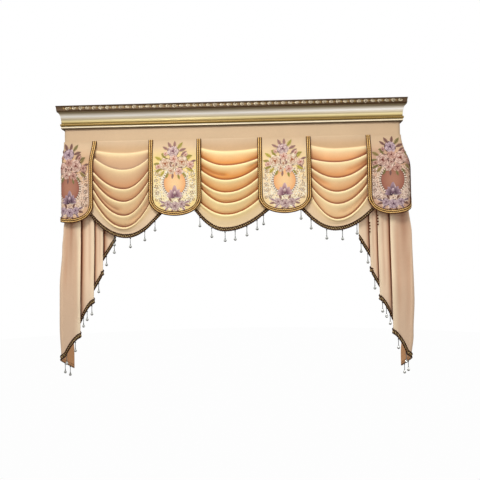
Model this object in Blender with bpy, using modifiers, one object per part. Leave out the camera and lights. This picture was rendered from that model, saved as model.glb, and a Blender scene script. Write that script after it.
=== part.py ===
"""A pelmet valance on its cornice box: swags, embroidered tabs and pleated tails under a gilt moulding.

Metres, +Z up. The wall is the plane y = 0 and the valance faces -Y. The origin is the middle of the top
board's back face. Cloth is laid out by s, the distance along the line of the front and its two returns,
out, the distance outside that line, and drop, the distance below the cornice's top edge.
"""
import math

import bmesh
import bpy
from mathutils import Vector

HALF_WIDTH = 0.945
BOX_DEPTH = 0.220
CORNER_RADIUS = 0.015
CORNER_STEPS = 4
WALL_GAP = 0.004
PIECE_GAP = 0.0003

BOARD_THICKNESS = 0.015
TOP_Z = BOARD_THICKNESS / 2

YOKE_THICKNESS = 0.002
YOKE_TOP_DROP = 0.004
YOKE_FOOT_DROP = 0.216
SEAM_DROP = 0.200

CLOTH = 0.0015
BRAID_THICKNESS = 0.002
BRAID_OUT = CLOTH / 2 + PIECE_GAP + BRAID_THICKNESS / 2

FRONT_STRAIGHT = HALF_WIDTH - CORNER_RADIUS
CORNER_ARC = CORNER_RADIUS * math.pi / 2
LINE_END = FRONT_STRAIGHT + CORNER_ARC + BOX_DEPTH - CORNER_RADIUS - WALL_GAP

# The moulding's section down its face, as out (from the cloth line) and drop: above the cove, and below it.
CARVED_BAND = ((0.033, 0.000), (0.036, 0.003), (0.032, 0.028), (0.029, 0.031))
COVE_TOP = (0.031, 0.034)
COVE_FOOT = (0.010, 0.095)
COVE_STEPS = 6
ASTRAGAL_AND_FILLET = ((0.014, 0.098), (0.014, 0.114), (0.010, 0.116), (0.010, 0.1285))

# Each swag: where the tabs' edges cut it, where it hangs lowest, and the parabola's ends for its hem.
SWAGS = {
    "left": dict(left=-0.767, right=-0.460, low=-0.598, low_hem=-0.588),
    "centre": dict(left=-0.164, right=0.150, low=-0.026, low_hem=-0.036),
    "right": dict(left=0.446, right=0.750, low=0.586, low_hem=0.574),
}
# Drop of each fold's crest, then of the hem, at the left tab's edge, at the lowest point and at the right
# edge.
SWAG_FOLDS = {
    "left": (
        (0.253, 0.274, 0.256),
        (0.298, 0.368, 0.304),
        (0.381, 0.477, 0.373),
        (0.434, 0.548, 0.432),
        (0.487, 0.626, 0.488),
        (0.544, 0.690, 0.567),
        (0.651, 0.750, 0.690),
    ),
    "centre": (
        (0.253, 0.276, 0.262),
        (0.308, 0.356, 0.319),
        (0.380, 0.437, 0.369),
        (0.443, 0.507, 0.429),
        (0.485, 0.566, 0.491),
        (0.567, 0.630, 0.550),
        (0.652, 0.722, 0.655),
    ),
    "right": (
        (0.251, 0.274, 0.262),
        (0.328, 0.351, 0.308),
        (0.378, 0.438, 0.368),
        (0.430, 0.515, 0.423),
        (0.484, 0.582, 0.476),
        (0.537, 0.664, 0.543),
        (0.667, 0.727, 0.650),
    ),
}
SWAG_CRESTS = 6
SWAG_COLUMNS = 14
# How far a swag runs on under the tabs, and how steeply its first crest and its hem rise there.
SWAG_TUCK = 0.074
TUCKED_SLOPE = (1.0, 2.2)
SWAG_BELLY = 0.014
BELLY_LENGTH = 0.220
BELLY_SIDE_LOSS = 0.45
BELLY_TUCK_LOSS = 0.80
CREST_HEIGHT = 0.011
CREST_SIDE_LOSS = 0.25
CREST_TUCK_LOSS = 0.55
FIRST_CREST_LIFT = 0.45
CREST_ABOVE = 0.010
CREST_BELOW = 0.005
VALLEY_SHARE = 0.4
HEM_BAND = 0.030
HEM_LIFT = 0.25
SWAG_TRIM_HEIGHT = 0.023
SWAG_BRAID_ROOM = 0.0003

# Each tab: its middle, half its width, how far its foot leans, where its foot ends, and how far it stands
# off the front and off the return.
TABS = {
    "corner_left": dict(middle=-0.902, half=0.148, lean=-0.019, foot=0.661, stand=0.021, side=0.016),
    "left": dict(middle=-0.312, half=0.148, lean=0.0, foot=0.631, stand=0.023, side=0.023),
    "right": dict(middle=0.298, half=0.148, lean=0.0, foot=0.627, stand=0.023, side=0.023),
    "corner_right": dict(middle=0.886, half=0.136, lean=0.0, foot=0.643, stand=0.026, side=0.044),
}
# How soon before the corner a tab goes over to its side's stand, and how far down it rises to each stand.
SIDE_START = 0.080
TAB_RISE = 0.090
SIDE_RISE = 0.190
TAB_ROUND = 0.092
TAB_CROWN = 0.003
TAB_COLUMNS = 16
COLUMN_ROOM = 0.05
TAB_RISE_ROWS = 4
TAB_BODY_ROWS = 4
TAB_ROUND_ROWS = 3
ABOVE_ROUND = 0.020
LEAN_LENGTH = 0.150
TAB_TOP_OUT = 2 * PIECE_GAP + 1.5 * CLOTH
TAB_BRAID_WIDTH = 0.027
TAB_BRAID_TURN = 0.012
BRAID_ROWS = 3
TILT_ROOM = 0.0005

# Each tail's fronts, inside to outside: the fold's edge, the hem's drop there and where the next front hides
# it, and the power by which the hem bends down on the way.
TAILS = {
    "left": (
        dict(edge=0.652, hem=0.765, hidden=0.873, bend=1.0),
        dict(edge=0.726, hem=0.961, hidden=1.039, bend=1.0),
        dict(edge=0.776, hem=1.116, hidden=1.220, bend=1.6),
        dict(edge=0.853, hem=1.305, hidden=1.411, bend=1.4),
    ),
    "right": (
        dict(edge=0.703, hem=0.777, hidden=0.875, bend=1.0),
        dict(edge=0.763, hem=0.963, hidden=1.041, bend=1.0),
        dict(edge=0.808, hem=1.115, hidden=1.224, bend=1.6),
        dict(edge=0.876, hem=1.300, hidden=1.412, bend=1.3),
    ),
}
TAIL_SIDE = {"left": -1, "right": 1}
TAIL_CORNER_FALL = 0.024
TAIL_END_DROP = 1.512
TAIL_TOP_DROP = 0.190
TAIL_FRONT_OUT = -(YOKE_THICKNESS + PIECE_GAP + CLOTH / 2)
TAIL_ROWS = 8
# Below this drop the tails hang clear of the yoke.
TAIL_FREE_DROP = 0.240
FRONT_SHARES = (0.35, 0.70, 1.00)
PLEAT_OVERLAP = 0.034
PLEAT_DEPTH = 0.026
FOLD_RADIUS = 0.0035
VALLEY_RADIUS = 0.0070
TURN_STEPS = 4
# How far the hem has fallen, between two fronts, round the hidden valley and round the next fold's edge.
VALLEY_FALL = (0.30, 0.50)
FOLD_FALL = (0.88, 1.00)
HEADING_SQUEEZE = 0.55
SQUEEZE_END_DROP = 0.800
# How far a tail's fronts come forward and how far its corner spreads sideways, as (drop, reach).
FRONT_FLARE = ((0.700, 0.000), (1.120, 0.018))
SIDE_REACH = {
    "left": ((0.600, 0.000), (0.700, 0.012), (0.800, 0.020), (1.020, 0.035), (1.240, 0.036), (1.450, 0.026)),
    "right": ((0.300, 0.000), (0.450, 0.012), (0.600, 0.039), (0.750, 0.055), (1.100, 0.060), (1.300, 0.050),
              (1.450, 0.032)),
}
# The share of the corner's sideways reach that is left at the wall.
WALL_REACH = 0.6
SOFT_VALLEY_S = {"left": 0.900, "right": 0.914}
SOFT_VALLEY_WIDTH = 0.011
SOFT_VALLEY_DEPTH = 0.008
SOFT_VALLEY_END_DROP = 1.150
TAIL_TRIM_HEIGHT = 0.030
RETURN_TRIM_HEIGHT = 0.019
TAIL_BAND_ROOM = 0.004

# A pendant: half its width at each drop below the braid's foot.
PENDANT = (
    ("root", -0.008, 0.0008),
    ("neck", 0.003, 0.0008),
    ("string top", 0.006, 0.0017),
    ("string foot", 0.036, 0.0017),
    ("drop", 0.050, 0.0075),
    ("tip", 0.058, 0.0025),
)
SWAG_PENDANTS = {
    "left": (-0.655, -0.565, -0.485, -0.428),
    "centre": (-0.176, -0.110, -0.036, 0.020, 0.085, 0.142, 0.178),
    "right": (0.386, 0.440, 0.524, 0.610, 0.690),
}
# Which front of the tail a pendant hangs on (4 is the return), and where along the cloth line.
TAIL_PENDANTS = {
    "left": (
        (0, 0.661), (0, 0.708), (1, 0.749), (2, 0.786), (2, 0.815), (2, 0.837), (3, 0.876), (3, 0.920),
        (4, 1.010), (4, 1.090),
    ),
    "right": (
        (0, 0.713), (0, 0.750), (1, 0.782), (2, 0.820), (2, 0.842), (2, 0.862), (3, 0.893), (3, 0.924),
        (4, 1.010), (4, 1.090),
    ),
}

WOOD = ((0.62, 0.52, 0.36), 0.35, 0.6)
BOARD = ((0.70, 0.58, 0.42), 0.60, 0.0)
BEIGE = ((0.70, 0.54, 0.38), 0.75, 0.0)
PEACH = ((0.78, 0.55, 0.34), 0.55, 0.0)
PANEL = ((0.80, 0.68, 0.47), 0.70, 0.0)
GILT = ((0.70, 0.45, 0.14), 0.45, 0.3)
DARK_BRAID = ((0.12, 0.06, 0.03), 0.60, 0.0)


def clamp(value, low=0.0, high=1.0):
    return max(low, min(high, value))


def blend(a, b, share):
    return a + (b - a) * share


def ease(share):
    share = clamp(share)
    return share * share * (3 - 2 * share)


def wrap(s, out, drop, spread=0.0):
    """The point at s along the cloth line, out outside it and drop below the cornice's top edge.

    Cloth that stands off by spread takes that much wider a turn round the corner, at its own length.
    """
    turned = clamp((abs(s) - FRONT_STRAIGHT) / (CORNER_RADIUS + spread), 0.0, math.pi / 2)
    beyond = max(0.0, abs(s) - FRONT_STRAIGHT - (CORNER_RADIUS + spread) * math.pi / 2)
    x = min(abs(s), FRONT_STRAIGHT) + (CORNER_RADIUS + out) * math.sin(turned)
    y = -BOX_DEPTH + CORNER_RADIUS + beyond - (CORNER_RADIUS + out) * math.cos(turned)
    return Vector((math.copysign(x, s), y, TOP_Z - drop))


def make_material(name, look):
    colour, roughness, metallic = look
    material = bpy.data.materials.new(name)
    material.use_nodes = True
    shader = material.node_tree.nodes["Principled BSDF"]
    shader.inputs["Base Color"].default_value = (*colour, 1.0)
    shader.inputs["Roughness"].default_value = roughness
    shader.inputs["Metallic"].default_value = metallic
    return material


def add_object(name, bm, look, collection):
    bmesh.ops.recalc_face_normals(bm, faces=bm.faces)
    mesh = bpy.data.meshes.new(name)
    bm.to_mesh(mesh)
    bm.free()
    mesh.materials.append(make_material(name, look))
    mesh.shade_smooth()
    mesh.set_sharp_from_angle(angle=math.radians(50))
    obj = bpy.data.objects.new(name, mesh)
    collection.objects.link(obj)
    return obj


def loft(bm, rings):
    """A closed body through rings of points that match one to one."""
    loops = [[bm.verts.new(point) for point in ring] for ring in rings]
    for upper, lower in zip(loops, loops[1:]):
        for index in range(len(upper)):
            after = (index + 1) % len(upper)
            bm.faces.new((upper[index], upper[after], lower[after], lower[index]))
    bm.faces.new(loops[0])
    bm.faces.new(loops[-1])


def add_sheet(name, columns, rows, place, thickness, look, collection):
    """A grid whose point (column, row) is put by place, thickened to a closed sheet about that surface."""
    bm = bmesh.new()
    bmesh.ops.create_grid(bm, x_segments=columns, y_segments=rows, size=0.5)
    for vert in bm.verts:
        column = round((vert.co.x + 0.5) * columns)
        row = round((0.5 - vert.co.y) * rows)
        vert.co = place(column, row)
    obj = add_object(name, bm, look, collection)
    solid = obj.modifiers.new("thickness", "SOLIDIFY")
    solid.thickness = thickness
    solid.offset = 0.0
    return obj


# The cornice box

def moulding_section():
    """The section as (out, drop) points, down the face and up the flat back."""
    section = list(CARVED_BAND)
    for step in range(COVE_STEPS + 1):
        angle = math.pi / 2 * step / COVE_STEPS
        out = blend(COVE_FOOT[0], COVE_TOP[0], 1 - math.sin(angle))
        section.append((out, blend(COVE_TOP[1], COVE_FOOT[1], 1 - math.cos(angle))))
    section += ASTRAGAL_AND_FILLET
    return section + [(PIECE_GAP, ASTRAGAL_AND_FILLET[-1][1]), (PIECE_GAP, CARVED_BAND[0][1])]


def add_moulding(name, end_a, end_b, collection):
    """The section lofted between two ends, each a function of how far out a point is, so that they mitre."""
    bm = bmesh.new()
    loft(bm, [[end(out, drop) for out, drop in moulding_section()] for end in (end_a, end_b)])
    return add_object(name, bm, WOOD, collection)


def add_cornice(collection):
    def front_end(side):
        reach = HALF_WIDTH - PIECE_GAP
        return lambda out, drop: Vector((side * (reach + out), -BOX_DEPTH - out, TOP_Z - drop))

    def return_front(side):
        front = PIECE_GAP - BOX_DEPTH
        return lambda out, drop: Vector((side * (HALF_WIDTH + out), front - out, TOP_Z - drop))

    def return_wall(side):
        return lambda out, drop: Vector((side * (HALF_WIDTH + out), 0.0, TOP_Z - drop))

    add_moulding("cornice_front", front_end(-1), front_end(1), collection)
    for word, side in (("left", -1), ("right", 1)):
        add_moulding(f"cornice_return_{word}", return_front(side), return_wall(side), collection)


def add_board(collection):
    """The top board, its front corners rounded to lie inside the yoke."""
    inset = YOKE_THICKNESS + PIECE_GAP
    half_x = HALF_WIDTH - inset
    depth = BOX_DEPTH - inset
    bm = bmesh.new()
    bmesh.ops.create_cube(bm, size=1.0)
    for vert in bm.verts:
        vert.co = Vector((2 * half_x * vert.co.x, depth * (vert.co.y - 0.5), BOARD_THICKNESS * vert.co.z))
    front = [
        edge for edge in bm.edges
        if all(abs(vert.co.y + depth) < 1e-6 for vert in edge.verts)
        and abs(edge.verts[0].co.x - edge.verts[1].co.x) < 1e-6
    ]
    bmesh.ops.bevel(bm, geom=front, offset=CORNER_RADIUS - inset, segments=4, affect="EDGES", profile=0.5)
    return add_object("top_board", bm, BOARD, collection)


def line_stations(limit):
    """Places along the cloth line from -limit to limit, close together only at the corners."""
    side = [FRONT_STRAIGHT + CORNER_ARC * step / CORNER_STEPS for step in range(CORNER_STEPS + 1)] + [limit]
    return [-s for s in reversed(side)] + [0.0] + side


def add_yoke(collection):
    stations = line_stations(LINE_END)
    drops = (YOKE_TOP_DROP, YOKE_FOOT_DROP)

    def place(column, row):
        return wrap(stations[column], -YOKE_THICKNESS / 2, drops[row])

    return add_sheet("yoke", len(stations) - 1, 1, place, YOKE_THICKNESS, BEIGE, collection)


# The swags

def swag_drop(which, s, fold):
    """Drop at s of a fold's crest, or of the hem after them: a parabola, then straight under the tabs."""
    swag = SWAGS[which]
    left, low, right = SWAG_FOLDS[which][fold]
    middle = swag["low_hem"] if fold == SWAG_CRESTS else swag["low"]
    edge = swag["left"] if s < middle else swag["right"]
    side = left if s < middle else right
    across = (s - middle) / (edge - middle)
    tucked_slope = blend(TUCKED_SLOPE[0], TUCKED_SLOPE[1], fold / SWAG_CRESTS)
    share = 1 - across * across if across <= 1 else tucked_slope * (1 - across)
    return side + (low - side) * share


def swag_rows(which, s):
    """The (drop, lift) pairs down the swag at s, where lift is how far up a fold's crest the row is."""
    crests = [swag_drop(which, s, fold) for fold in range(SWAG_CRESTS)]
    band = swag_drop(which, s, SWAG_CRESTS) - HEM_BAND
    rows = [(SEAM_DROP, 0.0)]
    for index, crest in enumerate(crests):
        valley = max(crest - CREST_ABOVE, blend(rows[-1][0], crest, VALLEY_SHARE))
        top = crest + CREST_BELOW
        after = crests[index + 1] - CREST_ABOVE if index + 1 < SWAG_CRESTS else band
        lift = 1.0 if index else FIRST_CREST_LIFT
        rows += [(valley, 0.0), (top, lift), (blend(top, after, 0.5), lift / 2)]
    return rows + [(band, HEM_LIFT), (band + HEM_BAND, HEM_LIFT)]


def swag_out(which, s, drop, lift):
    """How far out the swag's cloth lies: flat at the seam, a belly below it and a crest on each fold."""
    swag = SWAGS[which]
    half = (swag["right"] - swag["left"]) / 2
    across = abs(s - (swag["left"] + swag["right"]) / 2) / half
    seen = min(across, 1.0) ** 2
    tucked = ease((across - 1) / (SWAG_TUCK / half))
    down = ease((drop - SEAM_DROP) / BELLY_LENGTH)
    belly = SWAG_BELLY * down * (1 - BELLY_SIDE_LOSS * seen) * (1 - BELLY_TUCK_LOSS * tucked)
    crest = CREST_HEIGHT * lift * (1 - CREST_SIDE_LOSS * seen) * (1 - CREST_TUCK_LOSS * tucked)
    return PIECE_GAP + CLOTH / 2 + belly + crest


def swag_span(which, column, columns):
    swag = SWAGS[which]
    return blend(swag["left"] - SWAG_TUCK, swag["right"] + SWAG_TUCK, column / columns)


def add_swag(which, collection):
    rows = len(swag_rows(which, SWAGS[which]["low"])) - 1

    def place(column, row):
        s = swag_span(which, column, SWAG_COLUMNS)
        drop, lift = swag_rows(which, s)[row]
        return wrap(s, swag_out(which, s, drop, lift), drop)

    return add_sheet(f"swag_{which}", SWAG_COLUMNS, rows, place, CLOTH, PEACH, collection)


def pendant_mesh(places):
    """Four-sided pendants, one hanging at each place, as loose bodies in one mesh."""
    bm = bmesh.new()
    corners = ((1, 0), (0, 1), (-1, 0), (0, -1))
    for place in places:
        loft(bm, [
            [place + Vector((half * x, half * y, -drop)) for x, y in corners] for _, drop, half in PENDANT
        ])
    return bm


def hang_pendants(strip, places, look, guides):
    """Fuse the pendants into their braid strip."""
    pendants = add_object(f"{strip.name}_pendants", pendant_mesh(places), look, guides)
    pendants.hide_render = True
    pendants.display_type = "WIRE"
    fuse = strip.modifiers.new("pendants", "BOOLEAN")
    fuse.operation = "UNION"
    fuse.solver = "EXACT"
    fuse.object = pendants


def add_swag_trim(which, collection, guides):
    def at(s, above):
        hem = swag_drop(which, s, SWAG_CRESTS)
        return wrap(s, swag_out(which, s, hem, HEM_LIFT) + BRAID_OUT + SWAG_BRAID_ROOM, hem - above)

    def place(column, row):
        return at(swag_span(which, column, SWAG_COLUMNS), (SWAG_TRIM_HEIGHT, 0.0)[row])

    strip = add_sheet(f"swag_trim_{which}", SWAG_COLUMNS, 1, place, BRAID_THICKNESS, DARK_BRAID, collection)
    hang_pendants(strip, [at(s, 0.0) for s in SWAG_PENDANTS[which]], DARK_BRAID, guides)


# The tabs

def tab_foot(tab, across):
    """Drop of the tab's rounded foot."""
    return tab["foot"] - TAB_ROUND + TAB_ROUND * math.sqrt(max(0.0, 1 - across * across))


def tab_point(tab, across, drop, out=0.0):
    """The tab's cloth at across (-1 to 1) and a drop, moved out. Only its front edge leans."""
    fall = drop - SEAM_DROP
    s = tab["middle"] + across * tab["half"]
    front = clamp((FRONT_STRAIGHT - abs(s)) / (FRONT_STRAIGHT - abs(tab["middle"]) + tab["half"]))
    s += tab["lean"] * front * ease(fall / LEAN_LENGTH)
    crown = TAB_CROWN * (1 - across * across)
    front_out = blend(TAB_TOP_OUT, tab["stand"] + crown, ease(fall / TAB_RISE))
    side_out = blend(TAB_TOP_OUT, tab["side"] + crown, ease(fall / SIDE_RISE))
    cloth_out = blend(front_out, side_out, ease(1 - (FRONT_STRAIGHT - abs(s)) / SIDE_START))
    return wrap(s, cloth_out + out, drop, cloth_out - TAB_TOP_OUT)


def tab_columns(tab):
    """The tab's columns as across values: closer at its sides, and on the box's corner if it turns that."""
    even = [-math.cos(math.pi * step / TAB_COLUMNS) for step in range(TAB_COLUMNS + 1)]
    side = 1 if tab["middle"] > 0 else -1
    bends = [side * (FRONT_STRAIGHT + CORNER_ARC * step / CORNER_STEPS) for step in range(CORNER_STEPS + 1)]
    bends = [(s - tab["middle"]) / tab["half"] for s in bends]
    bends = [across for across in bends if abs(across) < 1]
    apart = [across for across in even if all(abs(across - bend) > COLUMN_ROOM for bend in bends)]
    return sorted(apart + bends)


def tab_level_drops(tab):
    """The drops of the tab's level rows: closer where it rises off the yoke."""
    rise = [SEAM_DROP + TAB_RISE * step / TAB_RISE_ROWS for step in range(TAB_RISE_ROWS)]
    straight_foot = tab["foot"] - TAB_ROUND - ABOVE_ROUND
    risen = SEAM_DROP + TAB_RISE
    return rise + [blend(risen, straight_foot, step / TAB_BODY_ROWS) for step in range(TAB_BODY_ROWS + 1)]


def add_tab(which, collection):
    tab = TABS[which]
    columns = tab_columns(tab)
    levels = tab_level_drops(tab)

    def place(column, row):
        across = columns[column]
        if row < len(levels):
            return tab_point(tab, across, levels[row])
        share = (row - len(levels) + 1) / TAB_ROUND_ROWS
        return tab_point(tab, across, blend(levels[-1], tab_foot(tab, across), share))

    rows = len(levels) - 1 + TAB_ROUND_ROWS
    return add_sheet(f"tab_{which}", len(columns) - 1, rows, place, CLOTH, PANEL, collection)


def add_tab_braid(which, collection):
    """The braid down one side, round the foot and up the other, from its outer to its inner edge."""
    tab = TABS[which]
    inner = 1 - TAB_BRAID_WIDTH / tab["half"]
    straight_foot = tab["foot"] - TAB_ROUND
    levels = tab_level_drops(tab)
    route = [((-1.0, drop), (-inner, drop)) for drop in levels]
    for across in tab_columns(tab):
        within = clamp(across, -inner, inner)
        hollow = (TAB_ROUND - TAB_BRAID_WIDTH) * math.sqrt(max(0.0, 1 - (within / inner) ** 2))
        end = TAB_BRAID_TURN * max(0.0, abs(across) - inner) / (1 - inner)
        route.append(((across, tab_foot(tab, across)), (within, straight_foot + hollow - end)))
    route += [((1.0, drop), (inner, drop)) for drop in reversed(levels)]

    def place(column, row):
        outer, inward = route[column]
        share = row / BRAID_ROWS
        across, drop = (blend(edge, other, share) for edge, other in zip(outer, inward))
        return tab_point(tab, across, drop, BRAID_OUT + TILT_ROOM)

    add_sheet(f"braid_{which}", len(route) - 1, BRAID_ROWS, place, BRAID_THICKNESS, GILT, collection)


# The tails

def tail_line(which):
    """The tail's line across, from its inner edge to the wall, as dicts of s, back, hem and front.

    Each front slopes back behind the next, turns forward round a wide valley, runs back under that next
    front and turns round its narrow folded edge. front is the front's number, 4 on the return, or None
    where the cloth is hidden.
    """
    fronts = TAILS[which]
    line = [dict(s=fronts[0]["edge"], back=0.0, hem=fronts[0]["hem"], front=0)]
    for number, (front, after) in enumerate(zip(fronts, fronts[1:])):
        valley = after["edge"] + PLEAT_OVERLAP
        shown = after["edge"] - front["edge"]
        gap = after["hem"] - front["hidden"]
        for share in FRONT_SHARES:
            back = PLEAT_DEPTH * shown * share / (valley - front["edge"])
            hem = blend(front["hem"], front["hidden"], share ** front["bend"])
            line.append(dict(s=front["edge"] + shown * share, back=back, hem=hem, front=number))
        for step in range(TURN_STEPS + 1):
            angle = math.pi * step / TURN_STEPS
            s = valley - VALLEY_RADIUS * (1 - math.sin(angle))
            back = PLEAT_DEPTH - VALLEY_RADIUS * (1 - math.cos(angle))
            fall = blend(VALLEY_FALL[0], VALLEY_FALL[1], step / TURN_STEPS)
            line.append(dict(s=s, back=back, hem=front["hidden"] + gap * fall, front=None))
        for step in range(TURN_STEPS + 1):
            angle = math.pi * step / TURN_STEPS
            s = after["edge"] + FOLD_RADIUS * (1 - math.sin(angle))
            fall = blend(FOLD_FALL[0], FOLD_FALL[1], step / TURN_STEPS)
            front_here = number + 1 if step == TURN_STEPS else None
            back = FOLD_RADIUS * (1 + math.cos(angle))
            line.append(dict(s=s, back=back, hem=front["hidden"] + gap * fall, front=front_here))
    return line + tail_corner_and_return(fronts[-1], len(fronts) - 1)


def tail_corner_and_return(last, number):
    """The last front's way to the box's corner, round it and along the return."""
    line = []
    for share in FRONT_SHARES:
        s = blend(last["edge"] + FOLD_RADIUS, FRONT_STRAIGHT, share)
        hem = blend(last["hem"], last["hidden"], share ** last["bend"])
        line.append(dict(s=s, back=0.0, hem=hem, front=number))
    for step in range(1, CORNER_STEPS + 1):
        share = step / CORNER_STEPS
        line.append(dict(s=FRONT_STRAIGHT + CORNER_ARC * share, back=0.0,
                         hem=last["hidden"] + TAIL_CORNER_FALL * share, front=None))
    line[-1]["front"] = number + 1
    for share in FRONT_SHARES:
        s = blend(FRONT_STRAIGHT + CORNER_ARC, LINE_END, share)
        hem = blend(last["hidden"] + TAIL_CORNER_FALL, TAIL_END_DROP, share)
        line.append(dict(s=s, back=0.0, hem=hem, front=number + 1))
    return line


def between_knots(knots, drop):
    """The value at a drop, eased between knots of (drop, value)."""
    if drop <= knots[0][0]:
        return knots[0][1]
    for (upper, first), (lower, second) in zip(knots, knots[1:]):
        if drop <= lower:
            return blend(first, second, ease((drop - upper) / (lower - upper)))
    return knots[-1][1]


def tail_point(which, station, drop):
    """The tail's cloth at a station of its line: pressed flatter at the heading, flared and spread below."""
    squeeze_length = SQUEEZE_END_DROP - TAIL_TOP_DROP
    squeeze = blend(HEADING_SQUEEZE, 1.0, ease((drop - TAIL_TOP_DROP) / squeeze_length))
    flare = between_knots(FRONT_FLARE, drop)
    off = (station["s"] - SOFT_VALLEY_S[which]) / SOFT_VALLEY_WIDTH
    fade = 1 - ease((drop - TAIL_TOP_DROP) / (SOFT_VALLEY_END_DROP - TAIL_TOP_DROP))
    soft = SOFT_VALLEY_DEPTH * math.exp(-off * off) * fade if station["front"] == 3 else 0.0
    point = wrap(station["s"], TAIL_FRONT_OUT - station["back"] * squeeze + flare - soft, drop)
    last_edge = TAILS[which][-1]["edge"] + FOLD_RADIUS
    to_corner = clamp((station["s"] - last_edge) / (FRONT_STRAIGHT - last_edge))
    along_return = clamp((station["s"] - FRONT_STRAIGHT) / (LINE_END - FRONT_STRAIGHT))
    spread = to_corner * blend(1.0, WALL_REACH, along_return) if station["back"] == 0 else 0.0
    point.x += (between_knots(SIDE_REACH[which], drop) - flare) * spread
    point.x *= TAIL_SIDE[which]
    return point


def outward(points, index):
    """The level step that moves a line of points outward by 1, kept parallel to it at its bends."""
    before = points[index] - points[index - 1] if index else points[1] - points[0]
    after = points[index + 1] - points[index] if index + 1 < len(points) else before
    squares = [Vector((step.y, -step.x, 0.0)).normalized() for step in (before, after)]
    middle = (squares[0] + squares[1]).normalized()
    return middle / middle.dot(squares[0])


def trim_height(s):
    """The braid is level on the return and slanted on the fronts, so there it is higher than it is wide."""
    return blend(TAIL_TRIM_HEIGHT, RETURN_TRIM_HEIGHT, ease((s - FRONT_STRAIGHT) / (2 * CORNER_ARC)))


def trim_point(line, which, index, above):
    """A point on the middle of the tail's braid, square off the tail's line at that level."""
    drop = line[index]["hem"] - above
    level = [tail_point(which, station, drop) for station in line]
    return level[index] + outward(level, index) * BRAID_OUT * TAIL_SIDE[which]


def trim_foot(line, which, front, s):
    """The foot of the tail's braid at s on one front."""
    seen = [index for index, station in enumerate(line) if station["front"] == front]
    for index, after in zip(seen, seen[1:]):
        if line[index]["s"] <= s <= line[after]["s"]:
            share = (s - line[index]["s"]) / (line[after]["s"] - line[index]["s"])
            return trim_point(line, which, index, 0.0).lerp(trim_point(line, which, after, 0.0), share)
    raise ValueError(f"no cloth at {s} on front {front}")


def add_tail(which, collection, guides):
    line = tail_line(which)
    pieces = len(line) - 1

    def place(column, row):
        station = line[column]
        band = station["hem"] - trim_height(station["s"]) - TAIL_BAND_ROOM
        hanging = [blend(TAIL_FREE_DROP, band, step / (TAIL_ROWS - 2)) for step in range(TAIL_ROWS - 1)]
        return tail_point(which, station, [TAIL_TOP_DROP, *hanging, station["hem"]][row])

    def trim_place(column, row):
        return trim_point(line, which, column, (trim_height(line[column]["s"]), 0.0)[row])

    add_sheet(f"tail_{which}", pieces, TAIL_ROWS, place, CLOTH, PEACH, collection)
    strip = add_sheet(f"tail_trim_{which}", pieces, 1, trim_place, BRAID_THICKNESS, DARK_BRAID, collection)
    places = [trim_foot(line, which, front, s) for front, s in TAIL_PENDANTS[which]]
    hang_pendants(strip, places, DARK_BRAID, guides)


def main():
    for obj in list(bpy.data.objects):
        bpy.data.objects.remove(obj, do_unlink=True)
    parts = bpy.data.collections.new("pelmet_valance")
    guides = bpy.data.collections.new("guides")
    bpy.context.scene.collection.children.link(parts)
    bpy.context.scene.collection.children.link(guides)
    add_cornice(parts)
    add_board(parts)
    add_yoke(parts)
    for which in SWAGS:
        add_swag(which, parts)
        add_swag_trim(which, parts, guides)
    for which in TABS:
        add_tab(which, parts)
        add_tab_braid(which, parts)
    for which in TAILS:
        add_tail(which, parts, guides)


main()
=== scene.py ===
"""The looks of a pelmet valance: swags and tails, embroidered tabs, braids, pendants and a gilt cornice.

Metres, +Z up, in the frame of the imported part. Cloth is laid out by s, the distance along the line of the
front and its two returns, out, the distance outside that line, and drop, the distance below the cornice's
top edge.
"""
import math
import random
from collections import namedtuple

import bpy
from mathutils import Matrix, Vector


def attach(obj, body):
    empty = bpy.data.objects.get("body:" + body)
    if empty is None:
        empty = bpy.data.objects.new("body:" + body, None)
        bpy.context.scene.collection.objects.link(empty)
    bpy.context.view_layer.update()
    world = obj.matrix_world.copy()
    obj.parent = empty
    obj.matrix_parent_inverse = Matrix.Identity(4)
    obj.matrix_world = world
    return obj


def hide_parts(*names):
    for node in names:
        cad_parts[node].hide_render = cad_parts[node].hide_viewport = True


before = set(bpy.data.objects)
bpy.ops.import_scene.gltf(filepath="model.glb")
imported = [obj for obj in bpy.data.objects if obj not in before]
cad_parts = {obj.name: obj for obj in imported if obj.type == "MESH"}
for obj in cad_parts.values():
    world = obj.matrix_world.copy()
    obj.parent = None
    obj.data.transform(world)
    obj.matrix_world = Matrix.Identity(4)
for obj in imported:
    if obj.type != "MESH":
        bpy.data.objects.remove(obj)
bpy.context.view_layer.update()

# The layout of the cloth line and of the pieces on it, as in the part
HALF_WIDTH = 0.945
BOX_DEPTH = 0.220
CORNER_RADIUS = 0.015
WALL_GAP = 0.004
PIECE_GAP = 0.0003
TOP_Z = 0.0075
YOKE_THICKNESS = 0.002
YOKE_TOP_DROP = 0.004
YOKE_FOOT_DROP = 0.216
SEAM_DROP = 0.200
CLOTH = 0.0015
BRAID_THICKNESS = 0.002
BRAID_OUT = CLOTH / 2 + PIECE_GAP + BRAID_THICKNESS / 2
FRONT_STRAIGHT = HALF_WIDTH - CORNER_RADIUS
CORNER_ARC = CORNER_RADIUS * math.pi / 2
LINE_END = FRONT_STRAIGHT + CORNER_ARC + BOX_DEPTH - CORNER_RADIUS - WALL_GAP
# How thick a sheet is shown, a little under its solid so that sheets stay apart.
SHOWN_CLOTH = 0.0011

# The swags' seen edges, and where their folds and their hems are lowest.
Swag = namedtuple("Swag", "left right low low_hem")
SWAGS = {
    "left": Swag(-0.767, -0.460, -0.598, -0.588),
    "centre": Swag(-0.164, 0.150, -0.026, -0.036),
    "right": Swag(0.446, 0.750, 0.586, 0.574),
}
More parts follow.
